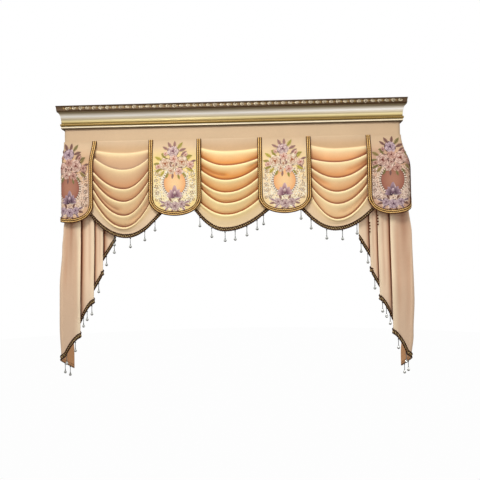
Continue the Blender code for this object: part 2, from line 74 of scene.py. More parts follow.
# Drop of each fold's crest, then of the hem, at the left edge, at the lowest point and at the right edge.
SWAG_FOLDS = {
    "left": ((0.253, 0.274, 0.256), (0.298, 0.368, 0.304), (0.381, 0.477, 0.373), (0.434, 0.548, 0.432),
             (0.487, 0.626, 0.488), (0.544, 0.690, 0.567), (0.651, 0.750, 0.690)),
    "centre": ((0.253, 0.276, 0.262), (0.308, 0.356, 0.319), (0.380, 0.437, 0.369), (0.443, 0.507, 0.429),
               (0.485, 0.566, 0.491), (0.567, 0.630, 0.550), (0.652, 0.722, 0.655)),
    "right": ((0.251, 0.274, 0.262), (0.328, 0.351, 0.308), (0.378, 0.438, 0.368), (0.430, 0.515, 0.423),
              (0.484, 0.582, 0.476), (0.537, 0.664, 0.543), (0.667, 0.727, 0.650)),
}
SWAG_CRESTS = 6
SWAG_COLUMNS = 96
SWAG_TUCK = 0.074
TUCKED_SLOPE = (1.0, 2.2)
SWAG_BELLY = 0.014
BELLY_LENGTH = 0.220
BELLY_SIDE_LOSS = 0.45
BELLY_TUCK_LOSS = 0.80
CREST_HEIGHT = 0.011
CREST_SIDE_LOSS = 0.25
CREST_TUCK_LOSS = 0.55
FOLD_HEIGHT = 0.0155
FIRST_FOLD = 0.45
HEM_BAND = 0.030
HEM_LIFT = 0.25
SWAG_TRIM_HEIGHT = 0.023
SWAG_BRAID_ROOM = 0.0003
# One fold from its lip down to the pocket behind the next lip, as: share of the way to the next crest, added
# drop, how far out as a share of the fold's height, and how deep its painted shade is.
FOLD_SECTION = (
    (0.00, 0.000, 0.62, 0.16),
    (0.00, 0.004, 0.95, 0.00),
    (0.00, 0.010, 1.00, 0.04),
    (0.32, 0.002, 0.70, 0.50),
    (0.68, 0.000, 0.32, 0.88),
    (1.00, -0.014, 0.08, 1.04),
    (1.00, -0.006, -0.04, 1.30),
    (1.00, 0.007, -0.02, 1.30),
    (1.00, 0.0085, 0.12, 1.30),
    (1.00, 0.004, 0.30, 0.90),
)
LAST_FOLD_SHARE = 0.5
SECTION_STEPS = 3
# The cloth above the first fold: added drop, out as a share of a fold's height, depth of painted shade and
# place.
ABOVE_FOLDS = ((-0.012, 0.0, 0.25, -0.2), (-0.003, 0.05, 0.30, -0.05))
# Troughs inside a fold: the fold, how far down it, from where to where across (-1 to 1), how deep.
SWAG_CREASES = {
    "left": ((2, 0.55, -1.3, -0.25, 0.0035), (3, 0.55, -1.0, 0.15, 0.0045), (4, 0.50, 0.10, 1.2, 0.0030)),
    "centre": ((1, 0.60, -1.3, 0.10, 0.0040), (1, 0.45, 0.45, 1.3, 0.0030), (3, 0.50, -1.3, -0.55, 0.0030),
               (5, 0.22, -1.3, -0.60, 0.0030)),
    "right": ((1, 0.55, 0.10, 1.3, 0.0030), (2, 0.50, -1.3, -0.20, 0.0035), (4, 0.50, -0.20, 1.2, 0.0035)),
}
CREASE_WIDTH = 0.16
CREASE_FADE = 0.35
# How much painted shade a trough's depth adds to the cloth's colour.
CREASE_SHADE = 90

# The tabs: middle and half width along the line, how far the front edge leans, the foot's drop, and how far
# out the cloth stands in front and on the box's side.
Tab = namedtuple("Tab", "middle half lean foot stand side")
TABS = {
    "corner_left": Tab(-0.902, 0.148, -0.019, 0.661, 0.021, 0.016),
    "left": Tab(-0.312, 0.148, 0.0, 0.631, 0.023, 0.023),
    "right": Tab(0.298, 0.148, 0.0, 0.627, 0.023, 0.023),
    "corner_right": Tab(0.886, 0.136, 0.0, 0.643, 0.026, 0.044),
}
SIDE_START = 0.080
TAB_RISE = 0.090
SIDE_RISE = 0.190
TAB_ROUND = 0.092
TAB_CROWN = 0.003
TAB_COLUMNS = 56
TAB_ROWS = 84
TAB_UPPER_ROWS = 63
TAB_STRAIGHT_ROOM = 0.02
LEAN_LENGTH = 0.150
TAB_TOP_OUT = 2 * PIECE_GAP + 1.5 * CLOTH
TAB_BRAID_WIDTH = 0.027
TAB_BRAID_TURN = 0.012
BRAID_SIDE_STEPS = 36
BRAID_FOOT_STEPS = 40
TILT_ROOM = 0.0005

# The tails' fronts from the inner one outwards: inner edge, the hem's drop there and where it gets hidden,
# and how late between them the hem falls.
Front = namedtuple("Front", "edge hem hidden bend")
TAILS = {
    "left": (Front(0.652, 0.765, 0.873, 1.0), Front(0.726, 0.961, 1.039, 1.0),
             Front(0.776, 1.116, 1.220, 1.6), Front(0.853, 1.305, 1.411, 1.4)),
    "right": (Front(0.703, 0.777, 0.875, 1.0), Front(0.763, 0.963, 1.041, 1.0),
              Front(0.808, 1.115, 1.224, 1.6), Front(0.876, 1.300, 1.412, 1.3)),
}
OUTER_FRONT = 3
RETURN_FRONT = 4
HIDDEN_DEPTH = 1.3
TAIL_SIDE = {"left": -1, "right": 1}
TAIL_CORNER_FALL = 0.024
TAIL_END_DROP = 1.512
TAIL_TOP_DROP = 0.190
TAIL_FRONT_OUT = -(YOKE_THICKNESS + PIECE_GAP + CLOTH / 2)
TAIL_ROWS = 96
FRONT_STEPS = 16
TURN_STEPS = 8
CORNER_STEPS = 6
RETURN_STEPS = 14
PLEAT_OVERLAP = 0.034
PLEAT_DEPTH = 0.026
FOLD_RADIUS = 0.0035
VALLEY_RADIUS = 0.0070
VALLEY_FALL = (0.30, 0.50)
FOLD_FALL = (0.88, 1.00)
HEADING_SQUEEZE = 0.55
SQUEEZE_END_DROP = 0.800
FRONT_FLARE = ((0.700, 0.000), (1.120, 0.018))
SIDE_REACH = {
    "left": ((0.600, 0.000), (0.700, 0.012), (0.800, 0.020), (1.020, 0.035), (1.240, 0.036), (1.450, 0.026)),
    "right": ((0.300, 0.000), (0.450, 0.012), (0.600, 0.039), (0.750, 0.055), (1.100, 0.060), (1.300, 0.050),
              (1.450, 0.032)),
}
WALL_REACH = 0.6
SOFT_VALLEY_S = {"left": 0.900, "right": 0.914}
SOFT_VALLEY_WIDTH = 0.011
SOFT_VALLEY_DEPTH = 0.008
SOFT_VALLEY_END_DROP = 1.150
# Long troughs down the fronts: the front, where on the line they start, their drift, their drops, how deep.
TAIL_CREASES = {
    "left": ((3, 0.876, -0.010, 0.70, 1.30, 0.0022), (3, 0.918, 0.006, 0.62, 1.10, 0.0026),
             (2, 0.806, -0.008, 0.60, 1.05, 0.0022), (1, 0.748, 0.000, 0.55, 0.98, 0.0020)),
    "right": ((3, 0.892, 0.012, 0.66, 1.25, 0.0024), (3, 0.926, -0.004, 0.80, 1.36, 0.0022),
              (2, 0.838, 0.006, 0.60, 1.10, 0.0024), (1, 0.784, 0.000, 0.55, 0.98, 0.0020)),
}
TAIL_CREASE_WIDTH = 0.008
TAIL_CREASE_FADES = (0.10, 0.18)
TAIL_CREASE_SHADE = 130
TAIL_TRIM_HEIGHT = 0.030
RETURN_TRIM_HEIGHT = 0.019

# Where pendants hang: s along a swag's hem, or a tail's front and s.
SWAG_PENDANTS = {
    "left": (-0.655, -0.565, -0.485, -0.428),
    "centre": (-0.176, -0.110, -0.036, 0.020, 0.085, 0.142, 0.178),
    "right": (0.386, 0.440, 0.524, 0.610, 0.690),
}
TAIL_PENDANTS = {
    "left": ((0, 0.661), (0, 0.708), (1, 0.749), (2, 0.786), (2, 0.815), (2, 0.837), (3, 0.876), (3, 0.920),
             (4, 1.010), (4, 1.090)),
    "right": ((0, 0.713), (0, 0.750), (1, 0.782), (2, 0.820), (2, 0.842), (2, 0.862), (3, 0.893), (3, 0.924),
              (4, 1.010), (4, 1.090)),
}


def clamp(value, low=0.0, high=1.0):
    return max(low, min(high, value))


def blend(a, b, share):
    return a + (b - a) * share


def ease(share):
    share = clamp(share)
    return share * share * (3 - 2 * share)


def colour(code):
    """A colour written as six hexadecimal digits of sRGB, as linear values."""
    channels = (int(code[start:start + 2], 16) / 255 for start in (0, 2, 4))
    return tuple(c / 12.92 if c <= 0.04045 else ((c + 0.055) / 1.055) ** 2.4 for c in channels)


def colours(codes):
    return tuple(colour(code) for code in codes.split())


def mix(first, second, share):
    share = clamp(share)
    return tuple(blend(a, b, share) for a, b in zip(first, second))


def shares(count):
    """Even shares from 0 to 1."""
    return [step / count for step in range(count + 1)]


def corner_angles(count):
    return [2 * math.pi * corner / count for corner in range(count)]


def between_knots(knots, drop):
    """The value at a drop, eased between knots of (drop, value)."""
    if drop <= knots[0][0]:
        return knots[0][1]
    for (upper, first), (lower, second) in zip(knots, knots[1:]):
        if drop <= lower:
            return blend(first, second, ease((drop - upper) / (lower - upper)))
    return knots[-1][1]


def smooth_value(values, position):
    """A smooth curve through evenly numbered values, read at a position between them."""
    index = min(int(position), len(values) - 2)
    t = position - index
    p1, p2 = values[index], values[index + 1]
    p0 = values[index - 1] if index else 2 * p1 - p2
    p3 = values[index + 2] if index + 2 < len(values) else 2 * p2 - p1
    square = t * t
    cube = square * t
    return 0.5 * (2 * p1 + (p2 - p0) * t + (2 * p0 - 5 * p1 + 4 * p2 - p3) * square
                  + (3 * p1 - p0 - 3 * p2 + p3) * cube)


def wrap(s, out, drop, spread=0.0):
    """The point at s along the cloth line, out outside it and drop below the cornice's top edge."""
    turned = clamp((abs(s) - FRONT_STRAIGHT) / (CORNER_RADIUS + spread), 0.0, math.pi / 2)
    beyond = max(0.0, abs(s) - FRONT_STRAIGHT - (CORNER_RADIUS + spread) * math.pi / 2)
    x = min(abs(s), FRONT_STRAIGHT) + (CORNER_RADIUS + out) * math.sin(turned)
    y = -BOX_DEPTH + CORNER_RADIUS + beyond - (CORNER_RADIUS + out) * math.cos(turned)
    return Vector((math.copysign(x, s), y, TOP_Z - drop))


# Colours of the cloth; those that differ follow the order of the swags and of the tabs

BEIGE, BEIGE_SHADE, SWAG_TOP, SEAM_SHADE = colours("D6BA98 CBAF90 CFAA80 A98A66")
# Swag folds: painted highlight on ridges, painted shade in valleys, painted shadow in the pockets above the
# lips.
RIDGE_HIGHLIGHT = dict(zip(SWAGS, colours("F8DFAE FFEDB4 FFE9B8")))
# The centre swag's more orange valleys also carry a painted glow of light coming through the cloth.
VALLEY_SHADE = dict(zip(SWAGS, colours("DDA274 EFA254 EDA86C")))
FOLD_SHADOW = dict(zip(SWAGS, colours("8E583E A25C2C 985A38")))
FLAP = dict(zip(SWAGS, colours("F2D8B8 F4DAB0 F0D4B0")))
# Tails: painted highlight on fold edges, painted shade on outer fronts and in valleys, painted shadow lines.
TAIL_EDGE_HIGHLIGHT, TAIL_FACE, TAIL_OUTER_SHADE, TAIL_FOOT = colours("FCE8C8 F6DABC DAB99C DAC4AC")
TAIL_VALLEY_SHADE, TAIL_SHADOW_LINE = colours("BE8462 74402A")
# Tab grounds: middle tabs painted warm and bright as if lit from behind, corner tabs painted darker in shade.
GROUND_AND_BACKLIGHT = dict(zip(TABS, colours("DDB48E FDE39C FBDFAA D3A88C")))
LACE_GROUND_AND_BACKLIGHT = dict(zip(TABS, colours("DEBFA8 FDEEBE FBE8C4 DABFB0")))
WHITE = (1.0, 1.0, 1.0)


# Materials

class Nodes:
    """The node tree of a new material or world, with short calls for the nodes that the finishes use."""

    def __init__(self, owner):
        owner.use_nodes = True
        self.owner = owner
        self.tree = owner.node_tree

    def node(self, kind, inputs=None, output=0, **settings):
        """The wanted output of a new node, with each input linked or set by its name or number."""
        node = self.tree.nodes.new(kind)
        for key, value in settings.items():
            setattr(node, key, value)
        for key, value in (inputs or {}).items():
            if isinstance(value, bpy.types.NodeSocket):
                self.tree.links.new(value, node.inputs[key])
            else:
                node.inputs[key].default_value = value
        return node.outputs[output]

    def place(self):
        return self.node("ShaderNodeTexCoord", output="Object")

    def tint(self):
        """The mesh's own colour, which changes from point to point."""
        return self.node("ShaderNodeAttribute", output="Color", attribute_name="tint")

    def own(self, code):
        socket = self.node("ShaderNodeRGB")
        socket.default_value = (*colour(code), 1.0)
        return socket

    def stretched(self, vector, scale):
        return self.node("ShaderNodeMapping", {"Vector": vector, "Scale": scale})

    def noise(self, vector, scale, detail=2.0):
        return self.node("ShaderNodeTexNoise", {"Vector": vector, "Scale": scale, "Detail": detail}, "Fac")

    def wave(self, vector, scale, direction):
        inputs = {"Vector": vector, "Scale": scale}
        return self.node("ShaderNodeTexWave", inputs, "Fac", bands_direction=direction)

    def math(self, operation, *values):
        return self.node("ShaderNodeMath", dict(enumerate(values)), operation=operation)

    def height(self, vector):
        return self.node("ShaderNodeSeparateXYZ", {0: vector}, "Z")

    def ramp(self, share, stops):
        """Colours blended between stops of (position, colour)."""
        tint = self.node("ShaderNodeValToRGB", {"Fac": share}, "Color")
        elements = tint.node.color_ramp.elements
        while len(elements) < len(stops):
            elements.new(0.5)
        for element, (position, rgb) in zip(elements, stops):
            element.position = position
            element.color = (*rgb, 1.0)
        return tint

    def scaled(self, base, value, low, high):
        """The base colour made darker or lighter by a 0 to 1 value."""
        factor = self.node("ShaderNodeMapRange", {"Value": value, "To Min": low, "To Max": high})
        return self.node("ShaderNodeVectorMath", {0: base, "Scale": factor}, operation="SCALE")

    def bump(self, height, strength, distance, **below):
        inputs = {"Height": height, "Strength": strength, "Distance": distance, **below}
        return self.node("ShaderNodeBump", inputs, "Normal")

    def finish(self, base, normal=None, **values):
        """The material, with its shader's colour and normal linked and its other inputs set."""
        shader = self.tree.nodes["Principled BSDF"]
        for key, value in values.items():
            shader.inputs[key.replace("_", " ")].default_value = value
        self.tree.links.new(base, shader.inputs["Base Color"])
        if normal is not None:
            self.tree.links.new(normal, shader.inputs["Normal"])
        return self.owner


def new_finish(name):
    return Nodes(bpy.data.materials.new(name))


THREADS = 330.0
SLUBS = 60.0
CLOUDS = 7.0


def tinted_cloth(name, roughness, sheen, weave=0.25):
    """Woven cloth whose large colour changes are in the mesh's own tint, and whose threads follow its UV."""
    nodes = new_finish(name)
    uv = nodes.node("ShaderNodeUVMap", output="UV")
    threads = nodes.math("MULTIPLY", nodes.wave(uv, THREADS, "X"), nodes.wave(uv, THREADS, "Y"))
    slubs = nodes.noise(uv, SLUBS, 4.0)
    base = nodes.scaled(nodes.tint(), nodes.noise(uv, CLOUDS), 0.93, 1.06)
    base = nodes.scaled(base, slubs, 0.965, 1.03)
    base = nodes.scaled(base, threads, 0.95, 1.02)
    normal = nodes.bump(slubs, 0.12, 0.002, Normal=nodes.bump(threads, weave, 0.0004))
    return nodes.finish(base, normal, Roughness=roughness, Sheen_Weight=sheen, Sheen_Roughness=0.35,
                        Specular_IOR_Level=0.35)


def tinted_thread(name, roughness, metallic):
    """Twisted or stitched thread, with fine ribs, over the mesh's own tint."""
    nodes = new_finish(name)
    place = nodes.place()
    ribs = nodes.wave(place, 210.0, "DIAGONAL")
    base = nodes.scaled(nodes.tint(), ribs, 0.88, 1.06)
    base = nodes.scaled(base, nodes.noise(place, 900.0, 3.0), 0.90, 1.08)
    return nodes.finish(base, nodes.bump(ribs, 0.3, 0.0006), Roughness=roughness, Metallic=metallic,
                        Sheen_Weight=0.0, Specular_IOR_Level=0.2)


def gilt(name, code, roughness, metallic, wear):
    """Champagne or antique gilding with soft wear."""
    nodes = new_finish(name)
    place = nodes.place()
    base = nodes.scaled(nodes.own(code), nodes.noise(place, 14.0, 6.0), 1 - wear, 1 + wear * 0.6)
    grain = nodes.noise(place, 400.0, 3.0)
    return nodes.finish(base, nodes.bump(grain, 0.10, 0.0006), Roughness=roughness, Metallic=metallic)


# The cove's colour by height below the top: silver leaf over grey clay, then a gold wash towards its foot;
# with painted shade under the band, a painted highlight band, a painted gold highlight streak and darker at
# its foot.
COVE_GILT_AND_LIGHT = ((0.034, "8C7D62"), (0.042, "AEA188"), (0.051, "E4DDD0"), (0.059, "FFFEFA"), (0.067, "DDD4C2"),
               (0.076, "B6A786"), (0.083, "E4D7A4"), (0.089, "C8B478"), (0.096, "7A6538"))
COVE_RANGE = 10


def cove_gilt_and_light(name):
    nodes = new_finish(name)
    place = nodes.place()
    share = nodes.math("MULTIPLY", nodes.math("SUBTRACT", TOP_Z, nodes.height(place)), float(COVE_RANGE))
    base = nodes.ramp(share, [(COVE_RANGE * drop, colour(code)) for drop, code in COVE_GILT_AND_LIGHT])
    worn = nodes.noise(nodes.stretched(place, (1.2, 1.2, 40.0)), 3.0, 4.0)
    lines = nodes.wave(place, 90.0, "Z")
    base = nodes.scaled(nodes.scaled(base, worn, 0.82, 1.12), lines, 0.92, 1.03)
    return nodes.finish(base, nodes.bump(lines, 0.25, 0.0008), Roughness=0.34, Metallic=0.45)


def pine(name):
    nodes = new_finish(name)
    rings = nodes.noise(nodes.stretched(nodes.place(), (0.6, 14.0, 14.0)), 4.0, 6.0)
    base = nodes.scaled(nodes.own("D9BC8E"), rings, 0.72, 1.12)
    return nodes.finish(base, nodes.bump(rings, 0.15, 0.001), Roughness=0.6)


def plain(name, code, roughness, **values):
    nodes = new_finish(name)
    base = nodes.scaled(nodes.own(code), nodes.noise(nodes.place(), 250.0), 0.92, 1.06)
    return nodes.finish(base, Roughness=roughness, **values)


# Meshes

class Heap:
    """Points, faces and tints that are gathered piece by piece into one object."""

    def __init__(self):
        self.points, self.tints, self.uvs = [], [], []
        self.faces, self.slots = [], []

    def add_point(self, point, tint, uv=None):
        self.points.append(point)
        self.tints.append(tint)
        self.uvs.append(uv or (point[0], point[2]))

    def add_face(self, corners, slot=0):
        self.faces.append(tuple(corners))
        self.slots.append(slot)

    def grid(self, rows, uvs=None, closed=False, slot=0):
        """Rows of points, each with its tint; closed joins each row's end to its start."""
        first = len(self.points)
        width = len(rows[0])
        for number, row in enumerate(rows):
            for column, (point, tint) in enumerate(row):
                self.add_point(point, tint, uvs and uvs[number][column])
        for number in range(len(rows) - 1):
            upper = first + number * width
            lower = upper + width
            for column in range(width if closed else width - 1):
                after = (column + 1) % width
                self.add_face((upper + column, lower + column, lower + after, upper + after), slot)
        return first

    def fan(self, centre, ring, tint):
        """Triangles from a centre to a ring of points."""
        middle = len(self.points)
        self.add_point(centre, tint)
        for index, corner in enumerate(ring):
            self.add_face((middle, corner, ring[(index + 1) % len(ring)]))

    def tube(self, rows, slot=0, turned=False):
        """Closed rows with a face over each end; turned is for corners that run the other way round."""
        sides = len(rows[0])
        first = self.grid(rows, closed=True, slot=slot)
        last = first + (len(rows) - 1) * sides
        for start, backward in ((first, turned), (last, not turned)):
            corners = range(start, start + sides)
            self.add_face(reversed(corners) if backward else corners, slot)

    def build(self, name, materials, thickness=0.0):
        """The object; with a thickness, a second material is for the sheet's back."""
        mesh = bpy.data.meshes.new(name)
        mesh.from_pydata(self.points, [], self.faces)
        mesh.polygons.foreach_set("material_index", self.slots)
        tint = mesh.attributes.new("tint", "FLOAT_COLOR", "POINT")
        tint.data.foreach_set("color", [value for rgb in self.tints for value in (*rgb, 1.0)])
        layer = mesh.uv_layers.new(name="UVMap")
        layer.data.foreach_set("uv", [value for loop in mesh.loops for value in self.uvs[loop.vertex_index]])
        for material in materials:
            mesh.materials.append(material)
        mesh.shade_smooth()
        mesh.update()
        piece = bpy.data.objects.new(name, mesh)
        bpy.context.scene.collection.objects.link(piece)
        if thickness:
            solid = piece.modifiers.new("thickness", "SOLIDIFY")
            solid.thickness = thickness
            solid.offset = 0.0
            solid.material_offset = len(materials) - 1
        return piece


def dress(piece, slot, *nodes):
    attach(piece, "root")
    if nodes:
        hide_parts(*nodes)
    return piece


def running_lengths(points):
    """The length along a line of points up to each of them."""
    lengths = [0.0]
    for before, after in zip(points, points[1:]):
        lengths.append(lengths[-1] + (after - before).length)
    return lengths


def add_cloth(name, rows, materials, slot, node):
    """A sheet of cloth from rows of points with their tints, and with UVs in metres for its threads."""
    downs = [0.0] * len(rows[0])
    uvs = []
    for row, above in zip(rows, [rows[0]] + rows):
        downs = [down + (point - higher).length for down, (point, _), (higher, _) in zip(downs, row, above)]
        uvs.append(list(zip(running_lengths([point for point, _ in row]), downs)))
    heap = Heap()
    heap.grid(rows, uvs)
    return dress(heap.build(name, materials, SHOWN_CLOTH), slot, node)


def heading(points, index):
    """The way a line of points runs at one of them."""
    return points[min(index + 1, len(points) - 1)] - points[max(index - 1, 0)]


def even_path(points, normals, step):
    """The path read at even steps, as lists of points and of normals, with its length."""
    lengths = running_lengths(points)
    count = max(2, round(lengths[-1] / step))
    places, ups = [], []
    index = 0
    for number in range(count + 1):
        along = lengths[-1] * number / count
        while index < len(points) - 2 and lengths[index + 1] < along:
            index += 1
        share = (along - lengths[index]) / max(1e-9, lengths[index + 1] - lengths[index])
        places.append(points[index].lerp(points[index + 1], share))
        ups.append(normals[index].lerp(normals[index + 1], share).normalized())
    return places, ups, lengths[-1]


ROPE_STRANDS = 2


def add_cord(heap, points, normals, radius, tint, step=0.002, sides=8, pitch=0.0, depth=0.22, other=None):
    """A cord along a path. With a pitch it is a rope whose strands turn once in a pitch."""
    places, ups, length = even_path(points, normals, step)
    rows = []
    for index, place in enumerate(places):
        ahead = heading(places, index).normalized()
        side = ahead.cross(ups[index]).normalized()
        up = side.cross(ahead)
        turn = 2 * math.pi * length * index / (len(places) - 1) / pitch if pitch else 0.0
        row = []
        for angle in corner_angles(sides):
            swell = math.cos(ROPE_STRANDS * (angle - turn)) if pitch else 0.0
            reach = radius * (1 + depth * swell)
            # Painted shade: the grooves between strands take the darker other colour, the crests the tint.
            shade = mix(other, tint, 0.5 + 0.7 * swell) if other else tint
            row.append((place + up * (reach * math.sin(angle)) + side * (reach * math.cos(angle)), shade))
        rows.append(row)
    heap.tube(rows)


# The stage, the camera and the lights

FLOOR_Z = -2.4
CAMERA_PLACE = (0.1655, -3.3327, -0.8576)
CAMERA_TURN = (-2.21, 1.748, -0.87)
CAMERA_LENS = 42.0
CAMERA_SENSOR = 36.0
WORLD_STRENGTH = 0.66
WORLD_STOPS = ((0.30, (0.50, 0.45, 0.40)), (0.75, (1.0, 0.98, 0.95)))


def add_camera():
    """The photograph's view: a little right of the middle, level with the tabs' feet."""
    yaw, pitch, roll = (math.radians(angle) for angle in CAMERA_TURN)
    ahead = Vector((math.sin(yaw) * math.cos(pitch), math.cos(yaw) * math.cos(pitch), math.sin(pitch)))
    right = Vector((math.cos(yaw), -math.sin(yaw), 0.0))
    up = right.cross(ahead)
    rolled_right = math.cos(roll) * right + math.sin(roll) * up
    rolled_up = -math.sin(roll) * right + math.cos(roll) * up
    data = bpy.data.cameras.new("camera")
    data.lens = CAMERA_LENS
    data.sensor_width = CAMERA_SENSOR
    camera = bpy.data.objects.new("camera", data)
    placed = Matrix((rolled_right, rolled_up, -ahead)).transposed().to_4x4()
    placed.translation = Vector(CAMERA_PLACE)
    camera.matrix_world = placed
    bpy.context.scene.collection.objects.link(camera)
    bpy.context.scene.camera = camera


def add_area(name, place, target, size, power, tint):
    data = bpy.data.lights.new(name, "AREA")
    data.shape = "DISK"
    data.size = size
    data.energy = power
    data.color = tint
    lamp = bpy.data.objects.new(name, data)
    lamp.location = place
    lamp.rotation_euler = (Vector(target) - Vector(place)).to_track_quat("-Z", "Y").to_euler()
    bpy.context.scene.collection.objects.link(lamp)


def stage_piece(name, strength):
    """The mesh just added, made white and seen by the camera and clear beads only, so it lights nothing."""
    piece = bpy.context.object
    piece.name = name
    nodes = new_finish(f"{name}_white")
    nodes.tree.nodes.remove(nodes.tree.nodes["Principled BSDF"])
    glow = nodes.node("ShaderNodeEmission", {"Color": (*WHITE, 1.0), "Strength": strength})
    nodes.tree.links.new(glow, nodes.tree.nodes["Material Output"].inputs["Surface"])
    piece.data.materials.append(nodes.owner)
    piece.visible_diffuse = False
    piece.visible_glossy = False
    piece.visible_shadow = False
    return piece


def add_stage():
    place = (0, 0, FLOOR_Z)
    bpy.ops.mesh.primitive_circle_add(vertices=64, radius=9.0, fill_type="NGON", location=place)
    floor = stage_piece("floor", 0.985)
    bpy.ops.mesh.primitive_uv_sphere_add(segments=48, ring_count=24, radius=11.0, location=place)
    surround = stage_piece("surround", 1.0)


def add_world():
    """Soft studio light, brighter from above than from below."""
    nodes = Nodes(bpy.data.worlds.new("studio"))
    bpy.context.scene.world = nodes.owner
    height = nodes.height(nodes.node("ShaderNodeTexCoord", output="Generated"))
    tint = nodes.ramp(nodes.math("MULTIPLY_ADD", height, 0.5, 0.5), WORLD_STOPS)
    shade = nodes.tree.nodes["Background"]
    shade.inputs["Strength"].default_value = WORLD_STRENGTH
    nodes.tree.links.new(tint, shade.inputs["Color"])


def add_surroundings():
    bpy.context.scene.view_settings.view_transform = "Standard"
    add_camera()
    add_stage()
    add_world()
    add_area("key", (-0.9, -3.0, 2.0), (0.0, -0.2, -0.6), 1.4, 92.0, (1.0, 0.97, 0.92))
    add_area("fill", (1.6, -3.6, 0.2), (0.1, -0.2, -0.7), 2.4, 22.0, (1.0, 0.98, 0.95))


# The cornice: its section as out and drop, and its carving

CARVED_BAND = ((0.033, 0.000), (0.036, 0.003), (0.0335, 0.006), (0.0312, 0.025), (0.0325, 0.028),
               (0.029, 0.031))
COVE_TOP = (0.031, 0.034)
COVE_FOOT = (0.010, 0.095)
COVE_STEPS = 18
ASTRAGAL_TOP = (0.0095, 0.0965)
ASTRAGAL_CENTRE = (0.0105, 0.106)
ASTRAGAL_RADIUS = 0.0048
ASTRAGAL_HALF_HEIGHT = 0.0078
ASTRAGAL_STEPS = 8
FILLET = ((0.0100, 0.1145), (0.0112, 0.1160), (0.0112, 0.1225))
QUIRK = ((0.0102, 0.1228), (0.0102, 0.1275), (0.0090, 0.1285))
LEAF_PITCH = 0.038
BAND_MIDDLE = 0.0158
BAND_OUT = 0.0322
CARVED_LIGHT, CARVED_DARK, CARVED_GOLD = colours("F2E6C8 4E391F B79A66")
FAN_ANGLE = 34
FAN_WOBBLE = 9
LEAF_LENGTHS = (0.013, 0.020)
# Width and height of a light leaf, then length, width and height of a gold one.
LIGHT_LEAF = (0.0054, 0.0030)
GOLD_LEAF = (0.012, 0.0048, 0.0026)
SCROLL_STEPS = 12
SCROLL_RADII = (0.0066, 0.0016)
CARVED_CORD = 0.0013
SHARP_ANGLE = math.radians(32)
BEAD_PITCH = 0.0095
BEAD_LENGTH = 0.0040
BEAD_RADIUS = 0.0032
BEAD_OUT = ASTRAGAL_CENTRE[0] + ASTRAGAL_RADIUS + 0.0002
BEAD_GOLD = colour("B09454")


def moulding_section():
    """The section as (out, drop, material), down the face and up the flat back."""
    section = [(out, drop, 0) for out, drop in CARVED_BAND]
    for step in range(COVE_STEPS + 1):
        angle = math.pi / 2 * step / COVE_STEPS
        section.append((blend(COVE_FOOT[0], COVE_TOP[0], 1 - math.sin(angle)),
                        blend(COVE_TOP[1], COVE_FOOT[1], 1 - math.cos(angle)), 1))
    section.append((*ASTRAGAL_TOP, 2))
    for step in range(ASTRAGAL_STEPS + 1):
        angle = math.pi * (step / ASTRAGAL_STEPS - 0.5)
        section.append((ASTRAGAL_CENTRE[0] + ASTRAGAL_RADIUS * math.cos(angle),
                        ASTRAGAL_CENTRE[1] + ASTRAGAL_HALF_HEIGHT * math.sin(angle), 2))
    section += [(out, drop, 3) for out, drop in FILLET]
    section += [(out, drop, 4) for out, drop in QUIRK]
    return section + [(PIECE_GAP, QUIRK[-1][1], 4), (PIECE_GAP, 0.0, 0)]


def moulding_end(side, reach, y, mitre=1):
    """A call that places a point of the section at one end of a length of moulding."""
    return lambda out, drop: Vector((side * (reach + out), y - mitre * out, TOP_Z - drop))


def add_moulding(name, ends, materials):
    heap = Heap()
    section = moulding_section()
    count = len(section)
    for end in ends:
        for out, drop, _ in section:
            heap.add_point(end(out, drop), WHITE)
    for index, (_, _, slot) in enumerate(section):
        after = (index + 1) % count
        heap.add_face((index, after, count + after, count + index), slot)
    heap.add_face(reversed(range(count)), 1)
    heap.add_face(range(count, 2 * count), 1)
    piece = heap.build(name, materials)
    piece.data.set_sharp_from_angle(angle=SHARP_ANGLE)
    dress(piece, "cornice_gilt", name)


def cornice_sides():
    """Each side of the cornice: its length, and where a point lies by how far along, out and down it is."""
    def front(along, out, drop):
        return Vector((along - HALF_WIDTH, -BOX_DEPTH - out, TOP_Z - drop))

    def left(along, out, drop):
        return Vector((-HALF_WIDTH - out, -along, TOP_Z - drop))

    def right(along, out, drop):
        return Vector((HALF_WIDTH + out, -BOX_DEPTH + along, TOP_Z - drop))

    return ((2 * HALF_WIDTH, front), (BOX_DEPTH, left), (BOX_DEPTH, right))


def relief_leaf(heap, at, start, angle, length, width, height, tint):
    """One carved leaf in the band's own plane, where at(along, out, drop) places it."""
    rows = []
    for t in shares(5):
        half = width / 2 * math.sin(math.pi * min(1.0, 0.12 + 0.86 * t)) ** 0.8
        row = []
        for side in (-1.0, -0.5, 0.0, 0.5, 1.0):
            ahead = length * t
            aside = side * half
            place = at(start + ahead * math.cos(angle) - aside * math.sin(angle),
                       BAND_OUT - 0.0010 + height * (1 - side * side) * (0.6 + 0.4 * t),
                       BAND_MIDDLE - ahead * math.sin(angle) - aside * math.cos(angle))
            row.append((place, mix(tint, CARVED_DARK, 0.75 * side * side)))
        rows.append(row)
    heap.grid(rows)


def add_scroll(heap, at, middle, way):
    points, normals = [], []
    for t in shares(SCROLL_STEPS):
        turn = math.radians(-160 + 430 * t)
        radius = blend(*SCROLL_RADII, t)
        along = middle + radius * math.cos(turn)
        down = BAND_MIDDLE - way * radius * math.sin(turn)
        points.append(at(along, BAND_OUT, down))
        normals.append(at(along, BAND_OUT + 1.0, down) - at(along, BAND_OUT, down))
    add_cord(heap, points, normals, CARVED_CORD, CARVED_LIGHT, sides=6)


def add_bead(heap, at, along):
    rows = []
    for ring in range(6):
        polar = math.pi * ring / 5
        flat = BEAD_RADIUS * math.sin(polar)
        rows.append([(at(along - BEAD_LENGTH * math.cos(polar), BEAD_OUT + flat * math.cos(angle),
                         ASTRAGAL_CENTRE[1] + flat * math.sin(angle)), BEAD_GOLD)
                     for angle in corner_angles(8)])
    heap.grid(rows, closed=True)


